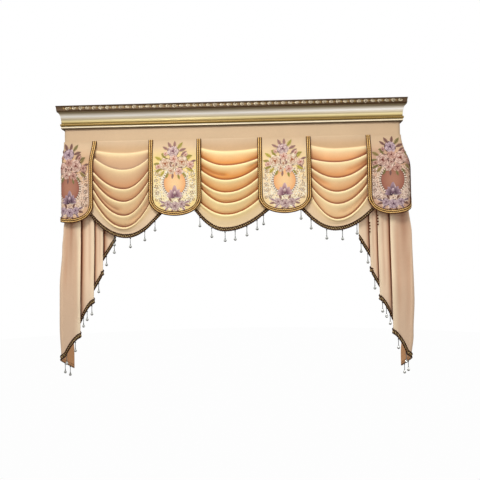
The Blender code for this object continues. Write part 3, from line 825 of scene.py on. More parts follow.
def add_carving():
    """Leaf sprays and scrolls along the carved band, and the bead row on the astragal."""
    rng = random.Random("carving")
    leaves = Heap()
    beads = Heap()
    for length, at in cornice_sides():
        count = round(length / LEAF_PITCH)
        pitch = length / count
        for number in range(count):
            start = pitch * (number + 0.5)
            for fan in range(3):
                angle = math.radians(FAN_ANGLE * (fan - 1) + rng.uniform(-FAN_WOBBLE, FAN_WOBBLE))
                reach = rng.uniform(*LEAF_LENGTHS)
                relief_leaf(leaves, at, start + 0.001, angle, reach, *LIGHT_LEAF, CARVED_LIGHT)
                relief_leaf(leaves, at, start - 0.003, math.pi - angle, *GOLD_LEAF, CARVED_GOLD)
            add_scroll(leaves, at, start + pitch / 2, 1 if number % 2 else -1)
        pearls = round(length / BEAD_PITCH)
        for number in range(pearls):
            add_bead(beads, at, length * (number + 0.5) / pearls)
    thread = tinted_thread("carved_gilding", 0.42, 0.55)
    for name, heap in (("cornice_carving", leaves), ("cornice_beading", beads)):
        dress(heap.build(name, [thread]), "cornice_gilt")


def add_cornice():
    materials = [
        gilt("antique_band", "523B20", 0.50, 0.35, 0.25),
        cove_gilt_and_light("champagne_cove_and_highlights"),
        gilt("gold_astragal", "8F7642", 0.38, 0.60, 0.15),
        gilt("cream_fillet", "EADFC2", 0.38, 0.35, 0.08),
        # The quirk's dark colour is a painted shadow line under the cornice.
        gilt("quirk_painted_shadow", "58442A", 0.60, 0.15, 0.15),
    ]
    front = [moulding_end(side, HALF_WIDTH - PIECE_GAP, -BOX_DEPTH) for side in (-1, 1)]
    add_moulding("cornice_front", front, materials)
    for name, side in (("cornice_return_left", -1), ("cornice_return_right", 1)):
        wall = moulding_end(side, HALF_WIDTH, 0.0, 0)
        corner = moulding_end(side, HALF_WIDTH, PIECE_GAP - BOX_DEPTH)
        add_moulding(name, (wall, corner)[::-side], materials)
    add_carving()
    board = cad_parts["top_board"]
    board.data.materials.clear()
    board.data.materials.append(pine("pine_board"))


# The yoke

YOKE_COLUMNS = 150
YOKE_ROWS = 20
YOKE_MIDDLE_OUT = -YOKE_THICKNESS / 2 - 0.0002
RIPPLE = 0.0004


def yoke_colour(s, drop):
    away = abs(s) / HALF_WIDTH
    # Painted shade: darker towards the ends and in a band under the cornice at the top.
    shade = ease((away - 0.55) / 0.6) * 0.7 + 0.25 * ease((0.16 - drop) / 0.05)
    return mix(BEIGE, BEIGE_SHADE, shade)


def add_yoke(cloth):
    rows = []
    for down in shares(YOKE_ROWS):
        drop = blend(YOKE_TOP_DROP, YOKE_FOOT_DROP, down)
        cells = []
        for across in shares(YOKE_COLUMNS):
            s = blend(-LINE_END, LINE_END, across)
            ripple = RIPPLE * math.sin(31 * s + 9 * drop) * math.sin(14 * s - 40 * drop)
            cells.append((wrap(s, YOKE_MIDDLE_OUT + ripple, drop), yoke_colour(s, drop)))
        rows.append(cells)
    piece = add_cloth("yoke_cloth", rows, [cloth], "yoke_cloth", "yoke")


# The swags

def swag_drop(which, s, fold):
    """Drop at s of a fold's crest, or of the hem after them: a parabola, then straight under the tabs."""
    swag = SWAGS[which]
    left, low, right = SWAG_FOLDS[which][fold]
    middle = swag.low_hem if fold == SWAG_CRESTS else swag.low
    edge, side = (swag.left, left) if s < middle else (swag.right, right)
    across = (s - middle) / (edge - middle)
    if across <= 1:
        return side + (low - side) * (1 - across * across)
    return side + (low - side) * (blend(*TUCKED_SLOPE, fold / SWAG_CRESTS) * (1 - across))


def swag_across(which, s):
    swag = SWAGS[which]
    return (s - (swag.left + swag.right) / 2) / ((swag.right - swag.left) / 2)


def swag_out(which, s, drop, height):
    """How far out the swag's cloth lies, with height what a fold adds at the swag's middle."""
    swag = SWAGS[which]
    across = abs(swag_across(which, s))
    seen = min(across, 1.0) ** 2
    tucked = ease((across - 1) / (SWAG_TUCK / ((swag.right - swag.left) / 2)))
    down = ease((drop - SEAM_DROP) / BELLY_LENGTH)
    belly = SWAG_BELLY * down * (1 - BELLY_SIDE_LOSS * seen) * (1 - BELLY_TUCK_LOSS * tucked)
    crest = height * (1 - CREST_SIDE_LOSS * seen) * (1 - CREST_TUCK_LOSS * tucked)
    return PIECE_GAP + CLOTH / 2 + belly + crest


def swag_span(which, share):
    swag = SWAGS[which]
    return blend(swag.left - SWAG_TUCK, swag.right + SWAG_TUCK, share)


def swag_trough(which, place, across):
    """How deep the troughs are at a place, counted in folds, and across the swag."""
    here = max(0, math.floor(place))
    trough = 0.0
    for fold, down, start, end, depth in SWAG_CREASES[which]:
        if fold == here:
            window = ease((across - start) / CREASE_FADE) * ease((end - across) / CREASE_FADE)
            off = (place - here - down) / CREASE_WIDTH
            trough += depth * window * math.exp(-off * off)
    return trough


def swag_knots(which, s):
    """The swag's section at s, as lists of drops, heights of folds, depths of painted shade and places in
    folds.
    """
    crests = [swag_drop(which, s, fold) for fold in range(SWAG_CRESTS)]
    hem = swag_drop(which, s, SWAG_CRESTS)
    knots = [(SEAM_DROP, -0.0006, 0.0, -1.0), (SEAM_DROP + 0.006, 0.0, 0.0, -0.9),
             (blend(SEAM_DROP, crests[0], 0.5), 0.0, 0.05, -0.5)]
    knots += [(crests[0] + added, out * FOLD_HEIGHT, deep, place) for added, out, deep, place in ABOVE_FOLDS]
    for fold, crest in enumerate(crests):
        height = FOLD_HEIGHT * (FIRST_FOLD if fold == 0 else 1.0)
        last = fold + 1 == SWAG_CRESTS
        below = hem - HEM_BAND if last else crests[fold + 1]
        for share, added, out, deep in FOLD_SECTION:
            if last and share > LAST_FOLD_SHARE:
                break
            knots.append((blend(crest, below, share) + added, out * height, deep, fold + share))
    flat = HEM_LIFT * CREST_HEIGHT
    band = hem - HEM_BAND
    knots += [(blend(crests[-1], band, 0.7), blend(flat, FOLD_HEIGHT, 0.25), 0.5, SWAG_CRESTS - 0.3),
              (band, flat, 0.55, float(SWAG_CRESTS)), (hem, flat, 0.6, float(SWAG_CRESTS))]
    return [list(values) for values in zip(*knots)]


def swag_colour(which, deep, place, drop, across):
    """The cloth's colour by how deep in a fold it is and which fold: painted highlight, shade and shadow."""
    ridge = RIDGE_HIGHLIGHT[which]
    # Painted valley shade, lighter in the lower folds.
    valley = mix(VALLEY_SHADE[which], ridge, 0.58 * ease((place - 1.5) / 4.0))
    shade = mix(valley, FOLD_SHADOW[which], (deep - 1.0) / 0.3) if deep > 1.0 else mix(ridge, valley, deep)
    # Painted shade, deeper towards the swag's sides under the tabs.
    side = ease((abs(across) - 0.40) / 0.6)
    shade = mix(shade, FOLD_SHADOW[which], 0.50 * side * clamp(deep) ** 2)
    # The left swag's upper folds: painted shade drawn towards the yoke's beige painted shade.
    if which == "left":
        shade = mix(shade, BEIGE_SHADE, 0.60 * clamp(deep) * ease((2.2 - place) / 1.2))
    shade = mix(shade, FLAP[which], 0.8 * ease((place - (SWAG_CRESTS - 0.80)) / 0.5))
    top = mix(yoke_colour(0.0, drop), SWAG_TOP, ease((place + 1.0) / 0.8))
    return mix(top, shade, ease((place + 0.12) / 0.12))


def add_swag(which, cloth):
    columns = []
    for share in shares(SWAG_COLUMNS):
        s = swag_span(which, share)
        across = swag_across(which, s)
        knots = swag_knots(which, s)
        cells = []
        for step in range((len(knots[0]) - 1) * SECTION_STEPS + 1):
            drop, height, deep, place = (smooth_value(values, step / SECTION_STEPS) for values in knots)
            trough = swag_trough(which, place, across)
            tint = swag_colour(which, deep + CREASE_SHADE * trough, place, drop, across)
            cells.append((wrap(s, swag_out(which, s, drop, height) - trough, drop), tint))
        columns.append(cells)
    return add_cloth(f"swag_{which}_cloth", list(zip(*columns)), [cloth], "swag_cloth", f"swag_{which}")


# Braids: a band's two edges as shares of the way across, with its colour, and the cords that lie on it

DARK, DARK_SOFT, GREY_GOLD, PALE_GOLD = colours("24120A 4C2A16 9C8052 DCC08C")
GOLD, GOLD_DEEP, GOLD_LIGHT, BROWN_EDGE = colours("D9963A 7E4C16 FFE29E 4A2206")
BAND_THICKNESS = BRAID_THICKNESS * 0.8
Cord = namedtuple("Cord", "shares out radius tint rope")
DARK_BAND = (0.04, 0.96, DARK)
# A rope's other colour is painted shade in the grooves between its strands.
DARK_CORDS = (
    Cord((0.18, 0.82), 0.0012, 0.0040, DARK_SOFT, dict(pitch=0.024, depth=0.30, other=DARK, step=0.0026)),
)
GOLD_BAND = (0.05, 0.88, GOLD_DEEP)
GOLD_CORDS = (
    Cord((0.11, 0.47, 0.83), 0.0016, 0.0030, BROWN_EDGE, dict(pitch=0.011, depth=0.2, step=0.0026)),
    Cord((0.28, 0.66), 0.0014, 0.0032, GOLD_LIGHT, dict(pitch=0.021, depth=0.28, other=GOLD, step=0.0024)),
)
WAVE_OUT = 0.0022
WAVE_STEP = 0.0024
WAVE_PITCH = 0.024
WAVE_REACH = 0.55
WAVE_RADIUS = 0.0013
SWAG_TRIM_STEPS = 90


def braid_line(lines, share, out=0.0):
    """A line at a share of the way from the braid's foot line to its top line, moved out."""
    return [foot.lerp(top, share) + normal * out for foot, top, normal in zip(*lines)]


def add_braid(heap, lines, band, cords):
    """A flat band with twisted cords on it, where lines are its foot, its top and its normals."""
    low, high, tint = band
    rows = []
    for a, b, normal in zip(braid_line(lines, low), braid_line(lines, high), lines[2]):
        up = normal * BAND_THICKNESS / 2
        rows.append([(corner, tint) for corner in (a + up, b + up, b - up, a - up)])
    heap.tube(rows)
    for cord in cords:
        for share in cord.shares:
            add_cord(heap, braid_line(lines, share, cord.out), lines[2], cord.radius, cord.tint, **cord.rope)


def add_dark_braid(heap, lines):
    """A dark braid of two twisted ropes, with a light wave along its middle."""
    add_braid(heap, lines, DARK_BAND, DARK_CORDS)
    low, middle, high = (even_path(braid_line(lines, share, WAVE_OUT), lines[2], WAVE_STEP)
                         for share in (0.3, 0.5, 0.7))
    count = min(len(low[0]), len(middle[0]), len(high[0]))
    for phase, tint in ((0.0, PALE_GOLD), (math.pi, GREY_GOLD)):
        wave = []
        for index in range(count):
            along = middle[2] * index / (len(middle[0]) - 1)
            swing = (high[0][index] - low[0][index]) * WAVE_REACH
            wave.append(middle[0][index] + swing * math.sin(2 * math.pi * along / WAVE_PITCH + phase))
        add_cord(heap, wave, middle[1][:count], WAVE_RADIUS, tint, WAVE_STEP, 5)


def swag_trim_at(which, s, above):
    hem = swag_drop(which, s, SWAG_CRESTS)
    out = swag_out(which, s, hem, HEM_LIFT * CREST_HEIGHT) + BRAID_OUT + SWAG_BRAID_ROOM
    return wrap(s, out, hem - above)


def add_swag_trim(which, thread, beads):
    heap = Heap()
    stations = [swag_span(which, share) for share in shares(SWAG_TRIM_STEPS)]
    foot = [swag_trim_at(which, s, 0.0) for s in stations]
    top = [swag_trim_at(which, s, SWAG_TRIM_HEIGHT) for s in stations]
    normals = [heading(foot, index).cross(b - a).normalized() for index, (a, b) in enumerate(zip(foot, top))]
    add_dark_braid(heap, (foot, top, normals))
    braid = dress(heap.build(f"swag_{which}_braid", [thread]), "dark_braid", f"swag_trim_{which}")
    places = [swag_trim_at(which, s, 0.0) for s in SWAG_PENDANTS[which]]
    return [braid, add_pendants(f"swag_{which}_pendants", places, beads)]


# Pendants, as turned parts: the drop below the braid's foot and the radius, from top to foot

DARK_BEAD = ((0.0000, 0.0006), (0.0012, 0.0026), (0.0042, 0.0042), (0.0072, 0.0028), (0.0088, 0.0006))
CAP = ((0.0355, 0.0006), (0.0368, 0.0026), (0.0392, 0.0034), (0.0400, 0.0028))
CRYSTAL = ((0.0400, 0.0030), (0.0440, 0.0050), (0.0495, 0.0085), (0.0530, 0.0080))
FOOT_RING = ((0.0530, 0.0080), (0.0550, 0.0066), (0.0570, 0.0038), (0.0582, 0.0006))
STRING_TOP = 0.0088
STRING_FOOT = 0.0365
STRING_BEAD = 0.0022
STRING_BEADS = 8
GLASS_ANGLE = math.radians(35)
SMOKED, CLEAR, CUT = range(3)


def pendant_parts():
    """Each turned part's profile, its number of sides and its material."""
    gap = (STRING_FOOT - STRING_TOP) / STRING_BEADS
    parts = [(DARK_BEAD, 10, SMOKED)]
    for bead in range(STRING_BEADS):
        angles = [math.pi * step / 4 for step in range(5)]
        profile = [(STRING_TOP + gap * bead + gap * (1 - math.cos(angle)) / 2,
                    0.0003 + STRING_BEAD * math.sin(angle)) for angle in angles]
        parts.append((profile, 6, CLEAR))
    return parts + [(CAP, 8, SMOKED), (CRYSTAL, 8, CUT), (FOOT_RING, 8, SMOKED)]


def add_turned(heap, place, profile, sides, slot, tint=WHITE):
    heap.tube([[(place + Vector((radius * math.cos(angle), radius * math.sin(angle), -drop)), tint)
                for angle in corner_angles(sides)] for drop, radius in profile], slot, turned=True)


def add_pendants(name, places, beads):
    heap = Heap()
    parts = pendant_parts()
    for place in places:
        for part in parts:
            add_turned(heap, place, *part)
    piece = heap.build(name, beads)
    piece.data.set_sharp_from_angle(angle=GLASS_ANGLE)
    return dress(piece, "dark_braid")


# The tabs

def tab_foot(tab, across):
    """Drop of the tab's rounded foot."""
    return tab.foot - TAB_ROUND + TAB_ROUND * math.sqrt(max(0.0, 1 - across * across))


def tab_point(tab, across, drop, out=0.0):
    """The tab's cloth at across (-1 to 1) and a drop, moved out. Only its front edge leans."""
    fall = drop - SEAM_DROP
    s = tab.middle + across * tab.half
    front = clamp((FRONT_STRAIGHT - abs(s)) / (FRONT_STRAIGHT - abs(tab.middle) + tab.half))
    s += tab.lean * front * ease(fall / LEAN_LENGTH)
    crown = TAB_CROWN * (1 - across * across)
    front_out = blend(TAB_TOP_OUT, tab.stand + crown, ease(fall / TAB_RISE))
    side_out = blend(TAB_TOP_OUT, tab.side + crown, ease(fall / SIDE_RISE))
    cloth_out = blend(front_out, side_out, ease(1 - (FRONT_STRAIGHT - abs(s)) / SIDE_START))
    return wrap(s, cloth_out + out, drop, cloth_out - TAB_TOP_OUT)


def tab_colour(which, across, drop, foot):
    """Beige at the seam, then the panel's ground, paler behind the lace: painted glow on middle tabs, painted
    shade on corner ones.
    """
    lace = ease((drop - 0.40) / 0.10) * ease((foot - 0.045 - drop) / 0.04)
    ground = mix(GROUND_AND_BACKLIGHT[which], LACE_GROUND_AND_BACKLIGHT[which], lace)
    return mix(yoke_colour(TABS[which].middle, drop), ground, ease((drop - 0.225) / 0.11))


def add_tab(which, cloth):
    tab = TABS[which]
    rows = []
    straight = tab.foot - TAB_ROUND - TAB_STRAIGHT_ROOM
    for row in range(TAB_ROWS + 1):
        cells = []
        for column in range(TAB_COLUMNS + 1):
            across = blend(-math.cos(math.pi * column / TAB_COLUMNS), 2 * column / TAB_COLUMNS - 1, 0.6)
            foot = tab_foot(tab, across)
            if row <= TAB_UPPER_ROWS:
                drop = blend(SEAM_DROP, straight, (row / TAB_UPPER_ROWS) ** 1.4)
            else:
                drop = blend(straight, foot, (row - TAB_UPPER_ROWS) / (TAB_ROWS - TAB_UPPER_ROWS))
            shade = tab_colour(which, across, drop, foot)
            # The top row takes painted shade, to hide the light caught by the sheet's top edge.
            cells.append((tab_point(tab, across, drop), shade if row else mix(shade, SEAM_SHADE, 0.45)))
        rows.append(cells)
    return add_cloth(f"tab_{which}_cloth", rows, [cloth], "panel_cloth", f"tab_{which}")


def add_tab_braid(which, thread):
    """The braid down one side, round the foot and up the other."""
    tab = TABS[which]
    inner = 1 - TAB_BRAID_WIDTH / tab.half
    straight_foot = tab.foot - TAB_ROUND
    fall = straight_foot - SEAM_DROP
    sides = [SEAM_DROP + fall * step / BRAID_SIDE_STEPS for step in range(BRAID_SIDE_STEPS)]
    route = [((-1.0, drop), (-inner, drop)) for drop in sides]
    for step in range(BRAID_FOOT_STEPS + 1):
        across = -math.cos(math.pi * step / BRAID_FOOT_STEPS)
        within = clamp(across, -inner, inner)
        hollow = (TAB_ROUND - TAB_BRAID_WIDTH) * math.sqrt(max(0.0, 1 - (within / inner) ** 2))
        end = TAB_BRAID_TURN * max(0.0, abs(across) - inner) / (1 - inner)
        route.append(((across, tab_foot(tab, across)), (within, straight_foot + hollow - end)))
    route += [((1.0, drop), (inner, drop)) for drop in reversed(sides)]
    room = BRAID_OUT + TILT_ROOM
    outer, inward = ([tab_point(tab, *place, room) for place in places] for places in zip(*route))
    normals = [(tab_point(tab, *place, 0.001) - tab_point(tab, *place)).normalized() for place, _ in route]
    heap = Heap()
    add_braid(heap, (outer, inward, normals), GOLD_BAND, GOLD_CORDS)
    return dress(heap.build(f"tab_{which}_braid", [thread]), "gilt_braid", f"braid_{which}")


# The embroidery on the tabs, in places right of the tab's middle and drops

PANEL_FOOT = 0.631
PETAL_ROWS = 4
PETAL_COLUMNS = 4
PETAL_HEIGHT = 0.0016
PETAL_TILT = 0.0007
LEAF_WIDTH = 0.42
FOOT_LEAF_WIDTH = 0.013
ROSE_SHADE_PATCH = 1.02
ROSE_HEART = 0.20
# Each motif's colours: its heart, its petals and its outline.
# Middle tabs' stitches painted warm and bright as if lit from behind; corner tabs' the same, painted darker
# in shade.
PALETTES = {
    "backlit_glow": dict(
        cream="BC7248 FFF8E0 6E4430", lilac="865A64 F2DCD4 583A40", pink="BC6C58 FFE8D6 703C34",
        olive="766C28 DCCC76 444018", yellow="A08A28 F2E484 5E5216", brown="7A5450 CDA496 442A28",
        medallion="F3AE74 FBD6A2 C88454", plume="74465C D6B2B4 FFF4EA", lace="FFFDF0 F4E0C0 8A6656",
    ),
    "wall_shade": dict(
        cream="8A4A40 F6DACA 46241F", lilac="6C4C60 DEC6CC 3E2A36", pink="824640 E6BEAC 44241F",
        olive="5A5028 B0A070 2C2812", yellow="746034 C0AA76 3E3216", brown="5A3834 AA8276 2C1A18",
        medallion="9C6252 B27E68 6C4036", plume="442A3C A88C9A F4E2D8", lace="FAEAD8 DCBCA4 5E3A36",
    ),
}
TAB_PALETTE = {"corner_left": "wall_shade", "left": "backlit_glow", "right": "backlit_glow", "corner_right": "wall_shade"}
# Roses, from back to front: place, radius, colours.
ROSES = (
    (0.062, 0.292, 0.014, "pink"), (-0.050, 0.284, 0.013, "pink"), (-0.008, 0.270, 0.032, "lilac"),
    (-0.090, 0.356, 0.017, "pink"), (0.088, 0.346, 0.021, "pink"), (-0.052, 0.340, 0.034, "cream"),
    (0.042, 0.332, 0.034, "cream"), (-0.004, 0.314, 0.024, "pink"), (-0.006, 0.352, 0.018, "cream"),
    (-0.020, 0.380, 0.021, "cream"), (0.024, 0.384, 0.023, "pink"),
)
# Leaves: place, angle in degrees with 90 upward, length, colours.
SPRAY = (
    (-0.006, 0.372, 90, 0.044, "olive"), (-0.004, 0.366, 58, 0.040, "brown"),
    (-0.008, 0.366, 124, 0.040, "brown"), (-0.016, 0.254, 116, 0.046, "brown"),
    (-0.034, 0.262, 146, 0.040, "brown"), (0.000, 0.250, 84, 0.042, "brown"),
    (0.016, 0.256, 52, 0.048, "olive"), (0.024, 0.270, 20, 0.044, "brown"),
    (-0.040, 0.284, 176, 0.034, "olive"), (0.036, 0.296, 42, 0.042, "brown"),
    (0.056, 0.304, 16, 0.044, "olive"), (0.070, 0.320, 54, 0.036, "yellow"),
    (0.090, 0.330, 14, 0.032, "brown"), (-0.046, 0.312, 128, 0.040, "olive"),
    (-0.070, 0.318, 150, 0.044, "yellow"), (-0.078, 0.340, 178, 0.040, "olive"),
    (-0.072, 0.364, 208, 0.042, "olive"), (-0.058, 0.376, 232, 0.040, "yellow"),
    (-0.036, 0.388, 252, 0.036, "olive"), (-0.010, 0.394, 266, 0.032, "brown"),
    (0.018, 0.396, -78, 0.034, "olive"), (0.044, 0.388, -52, 0.038, "olive"),
    (0.066, 0.366, -28, 0.044, "yellow"), (0.078, 0.352, -52, 0.036, "brown"),
)
# A rose's rings of petals: where they start, their length and width in radii, how many, and their lift.
ROSE_RINGS = ((0.30, 0.74, 1.02, 6, 0.0010), (0.12, 0.60, 0.84, 5, 0.0022), (0.02, 0.38, 0.56, 3, 0.0034))
MEDALLION = (0.0, 0.448)
MEDALLION_RADII = (0.060, 0.068)
MEDALLION_ROOM = 0.012
RING_ROOM = 0.011
RING_STITCHES = 36
RING_STITCH = 0.0074
MEDALLION_LACE = 1.14
# Petals of the palmette inside the medallion: angle in degrees, length, width.
PLUMES = ((2, 0.044, 0.022), (178, 0.044, 0.022), (90, 0.062, 0.030), (28, 0.044, 0.024), (152, 0.044, 0.024),
          (54, 0.046, 0.024), (126, 0.046, 0.024), (78, 0.034, 0.018), (102, 0.034, 0.018))
PLUME_ROOT = (0.0, 0.522)
# The ornament at the foot: blossoms, then leaves, as for the roses and the spray.
FOOT_BLOSSOMS = ((-0.038, 0.566, 0.020, "lilac"), (0.038, 0.566, 0.020, "lilac"),
                 (0.0, 0.576, 0.025, "lilac"))
FOOT_LEAVES = ((0.050, 0.562, 24, 0.040, "plume"), (0.050, 0.568, -12, 0.036, "brown"),
               (0.036, 0.580, -44, 0.030, "plume"), (0.012, 0.594, -66, 0.024, "brown"),
               (0.018, 0.552, 58, 0.030, "brown"))
# Lace scrolls on the right side, mirrored to the left: place, radius, first angle, turns.
SCROLLS = ((0.098, 0.392, 0.013, 200, 1.3), (0.104, 0.430, 0.011, 20, -1.3), (0.100, 0.466, 0.013, 200, 1.3),
           (0.096, 0.500, 0.012, 20, -1.4), (0.078, 0.538, 0.012, 230, 1.3), (0.102, 0.540, 0.009, 60, -1.2))
LACE_SCROLL_STEPS = 14
SCROLL_CORD = 0.0016
LACE_TRIES = 2000
LACE_HALF = 0.116
LACE_TOP = 0.372
LACE_FOOT = 0.600
LACE_CURVE = 60
LACE_DOTS = (0.0015, 0.0030)
BEADED_LINE_BEADS = 46
BEADED_LINE_DROP = 0.560
BEADED_LINE_RISE = 0.046
SCALLOP = 0.006
SCALLOP_BEAD = 0.0026
DOT_OUT = 0.0002


def panel_place(which):
    """A call that places a point of the motif on a tab, by right of its middle, drop and out."""
    tab = TABS[which]
    longer = (tab.foot - SEAM_DROP) / (PANEL_FOOT - SEAM_DROP)

    def at(right, drop, out):
        lower = SEAM_DROP + (drop - SEAM_DROP) * longer
        return tab_point(tab, right / tab.half, lower, SHOWN_CLOTH / 2 + out)

    return at


def petal_tint(stitches, t, side, leaf):
    heart, petal, outline = stitches
    if leaf:
        return mix(mix(heart, petal, abs(side) * 1.4), outline, 0.5 * abs(side) ** 2)
    return mix(mix(heart, petal, 1.6 * t - 0.45), outline, 0.75 * max(0.0, -side) ** 3)


def add_petal(heap, at, root, angle, length, width, lift, stitches, leaf=False):
    """One raised petal or leaf in satin stitch, from its root to its tip."""
    rows = []
    for t in shares(PETAL_ROWS):
        full = math.sin(math.pi * (0.03 + 0.94 * t)) if leaf else math.sin(math.pi * (0.12 + 0.70 * t)) ** 0.7
        row = []
        for share in shares(PETAL_COLUMNS):
            side = 2 * share - 1
            ahead = length * t * (1.0 if leaf else 1 - 0.20 * side * side)
            aside = side * full * width / 2
            rise = PETAL_HEIGHT * (1 - side * side) * math.sin(math.pi * min(1.0, 0.15 + 0.80 * t))
            rise += 0.0 if leaf else PETAL_TILT * (1 + side) * t
            place = at(root[0] + ahead * math.cos(angle) - aside * math.sin(angle),
                       root[1] - ahead * math.sin(angle) - aside * math.cos(angle), lift + rise)
            row.append((place, petal_tint(stitches, t, side, leaf)))
        rows.append(row)
    heap.grid(rows)


def add_disc(heap, at, place, radii, lift, middle, edge, height=0.0, rings=3, corners=18):
    """An oval filled with stitches."""
    rows = []
    for share in shares(rings)[1:]:
        out = lift + height * (1 - share * share)
        tint = mix(middle, edge, share * share)
        rows.append([(at(place[0] + radii[0] * share * math.cos(angle),
                         place[1] - radii[1] * share * math.sin(angle), out), tint)
                     for angle in corner_angles(corners)])
    first = heap.grid(rows, closed=True)
    heap.fan(at(*place, lift + height), range(first, first + corners), middle)


def add_dot(heap, at, place, radius, tint):
    """One knot of thread."""
    ring = [(at(place[0] + radius * math.cos(angle), place[1] + radius * math.sin(angle), DOT_OUT), tint)
            for angle in corner_angles(6)]
    first = heap.grid([ring])
    heap.fan(at(*place, DOT_OUT + radius * 0.7), range(first, first + 6), tint)


def add_rose(heap, at, rose, palette, rng):
    right, drop, radius, name = rose
    heart, petal, outline = palette[name]
    # A dark disc in the outline colour under the petals: painted shade in the gaps between them.
    add_disc(heap, at, (right, drop), [radius * ROSE_SHADE_PATCH] * 2, 0.0008, outline, outline)
    for start, length, width, count, lift in ROSE_RINGS:
        turn = rng.uniform(0, 2 * math.pi)
        for number in range(count):
            angle = turn + 2 * math.pi * number / count + rng.uniform(-0.14, 0.14)
            root = (right + start * radius * math.cos(angle), drop - start * radius * math.sin(angle))
            tone = mix(petal, heart, rng.uniform(0.0, 0.25))
            reach = length * radius * rng.uniform(0.88, 1.08)
            add_petal(heap, at, root, angle, reach, width * radius, lift, (heart, tone, outline))
    heart_radii = [radius * ROSE_HEART] * 2
    add_disc(heap, at, (right, drop), heart_radii, 0.0050, outline, heart, rings=1, corners=8)


def add_medallion(heap, at, palette):
    heart, petal, _ = palette["medallion"]
    light, pale, dark = palette["lace"]
    ring = [reach + RING_ROOM for reach in MEDALLION_RADII]
    for radii, lift, middle, edge, height in (
            ([reach * MEDALLION_LACE for reach in ring], 0.0002, light, pale, 0.0),
            (ring, 0.0005, dark, mix(pale, dark, 0.8), 0.0),
            (MEDALLION_RADII, 0.0009, petal, heart, 0.0006)):
        add_disc(heap, at, MEDALLION, radii, lift, middle, edge, height, rings=5, corners=40)
    for angle in corner_angles(RING_STITCHES):
        root = (MEDALLION[0] + (MEDALLION_RADII[0] + 0.001) * math.cos(angle),
                MEDALLION[1] - (MEDALLION_RADII[1] + 0.001) * math.sin(angle))
        add_petal(heap, at, root, angle, RING_ROOM, RING_STITCH, 0.0009, (light, light, dark))
    for angle, length, width in PLUMES:
        add_petal(heap, at, PLUME_ROOT, math.radians(angle), length, width, 0.0020, palette["plume"])
    add_petal(heap, at, PLUME_ROOT, math.radians(90), 0.030, 0.016, 0.0036, palette["lilac"])
    for way in (-1, 1):
        add_disc(heap, at, (way * 0.012, PLUME_ROOT[1] - 0.002), (0.008, 0.006), 0.0034, palette["lilac"][1],
                 palette["plume"][0], rings=2, corners=10)


def add_lace_scroll(heap, at, scroll, way, tint):
    right, drop, radius, first, turns = scroll
    points, normals = [], []
    for t in shares(LACE_SCROLL_STEPS):
        angle = math.radians(first + 360 * turns * t)
        reach = radius * (1 - 0.80 * t)
        place = (way * (right + reach * math.cos(angle)), drop - reach * math.sin(angle))
        points.append(at(*place, 0.0007))
        normals.append((at(*place, 0.01) - at(*place, 0.0)).normalized())
    add_cord(heap, points, normals, SCROLL_CORD, tint, 0.003, 5)


def add_lace(heap, at, palette, rng):
    """The worked ground at both sides: scrolls, knots of thread and the beaded line above the foot."""
    light, pale, dark = palette["lace"]
    for scroll in SCROLLS:
        for way in (-1, 1):
            add_lace_scroll(heap, at, scroll, way, mix(dark, pale, 0.25))
    for _ in range(LACE_TRIES):
        right, drop = rng.uniform(-LACE_HALF, LACE_HALF), rng.uniform(LACE_TOP, LACE_FOOT)
        across = right / (MEDALLION_RADII[0] + MEDALLION_ROOM)
        down = (drop - MEDALLION[1]) / (MEDALLION_RADII[1] + MEDALLION_ROOM)
        if across * across + down * down < 1.0 or drop > LACE_FOOT - LACE_CURVE * right ** 2 * abs(right):
            continue
        tint = rng.choice((light, light, light, pale, mix(pale, dark, 0.5), dark))
        add_dot(heap, at, (right, drop), rng.uniform(*LACE_DOTS), tint)
    for number in range(BEADED_LINE_BEADS + 1):
        t = 2 * number / BEADED_LINE_BEADS - 1
        drop = BEADED_LINE_DROP - BEADED_LINE_RISE * t * t + SCALLOP * abs(math.sin(4 * math.pi * t))
        add_dot(heap, at, (LACE_HALF * t, drop), SCALLOP_BEAD, mix(light, dark, 0.6 * (number % 2)))


def add_embroidery(which, thread):
    """A bouquet over a medallion, with lace at its sides and blossoms at the foot."""
    palette = {name: colours(codes) for name, codes in PALETTES[TAB_PALETTE[which]].items()}
    rng = random.Random(f"panel {which}")
    at = panel_place(which)
    heap = Heap()
    add_lace(heap, at, palette, rng)
    add_medallion(heap, at, palette)
    for right, drop, angle, length, name in FOOT_LEAVES:
        for way, degrees in ((1, angle), (-1, 180 - angle)):
            root, turn = (way * right, drop), math.radians(degrees)
            add_petal(heap, at, root, turn, length, FOOT_LEAF_WIDTH, 0.0010, palette[name], True)
    for right, drop, angle, length, name in SPRAY:
        turn = math.radians(angle + rng.uniform(-6, 6))
        add_petal(heap, at, (right, drop), turn, length, LEAF_WIDTH * length, 0.0016, palette[name], True)
    for rose in ROSES + FOOT_BLOSSOMS:
        add_rose(heap, at, rose, palette, rng)
    return dress(heap.build(f"tab_{which}_stitching", [thread]), "panel_cloth")


# The tails

# A place on the tail's line across: its s, how far back it is, its hem's drop, its front's number, or None
# where the cloth is hidden, and how deep in a valley it lies, which sets its painted shade.
Station = namedtuple("Station", "s back hem front deep")


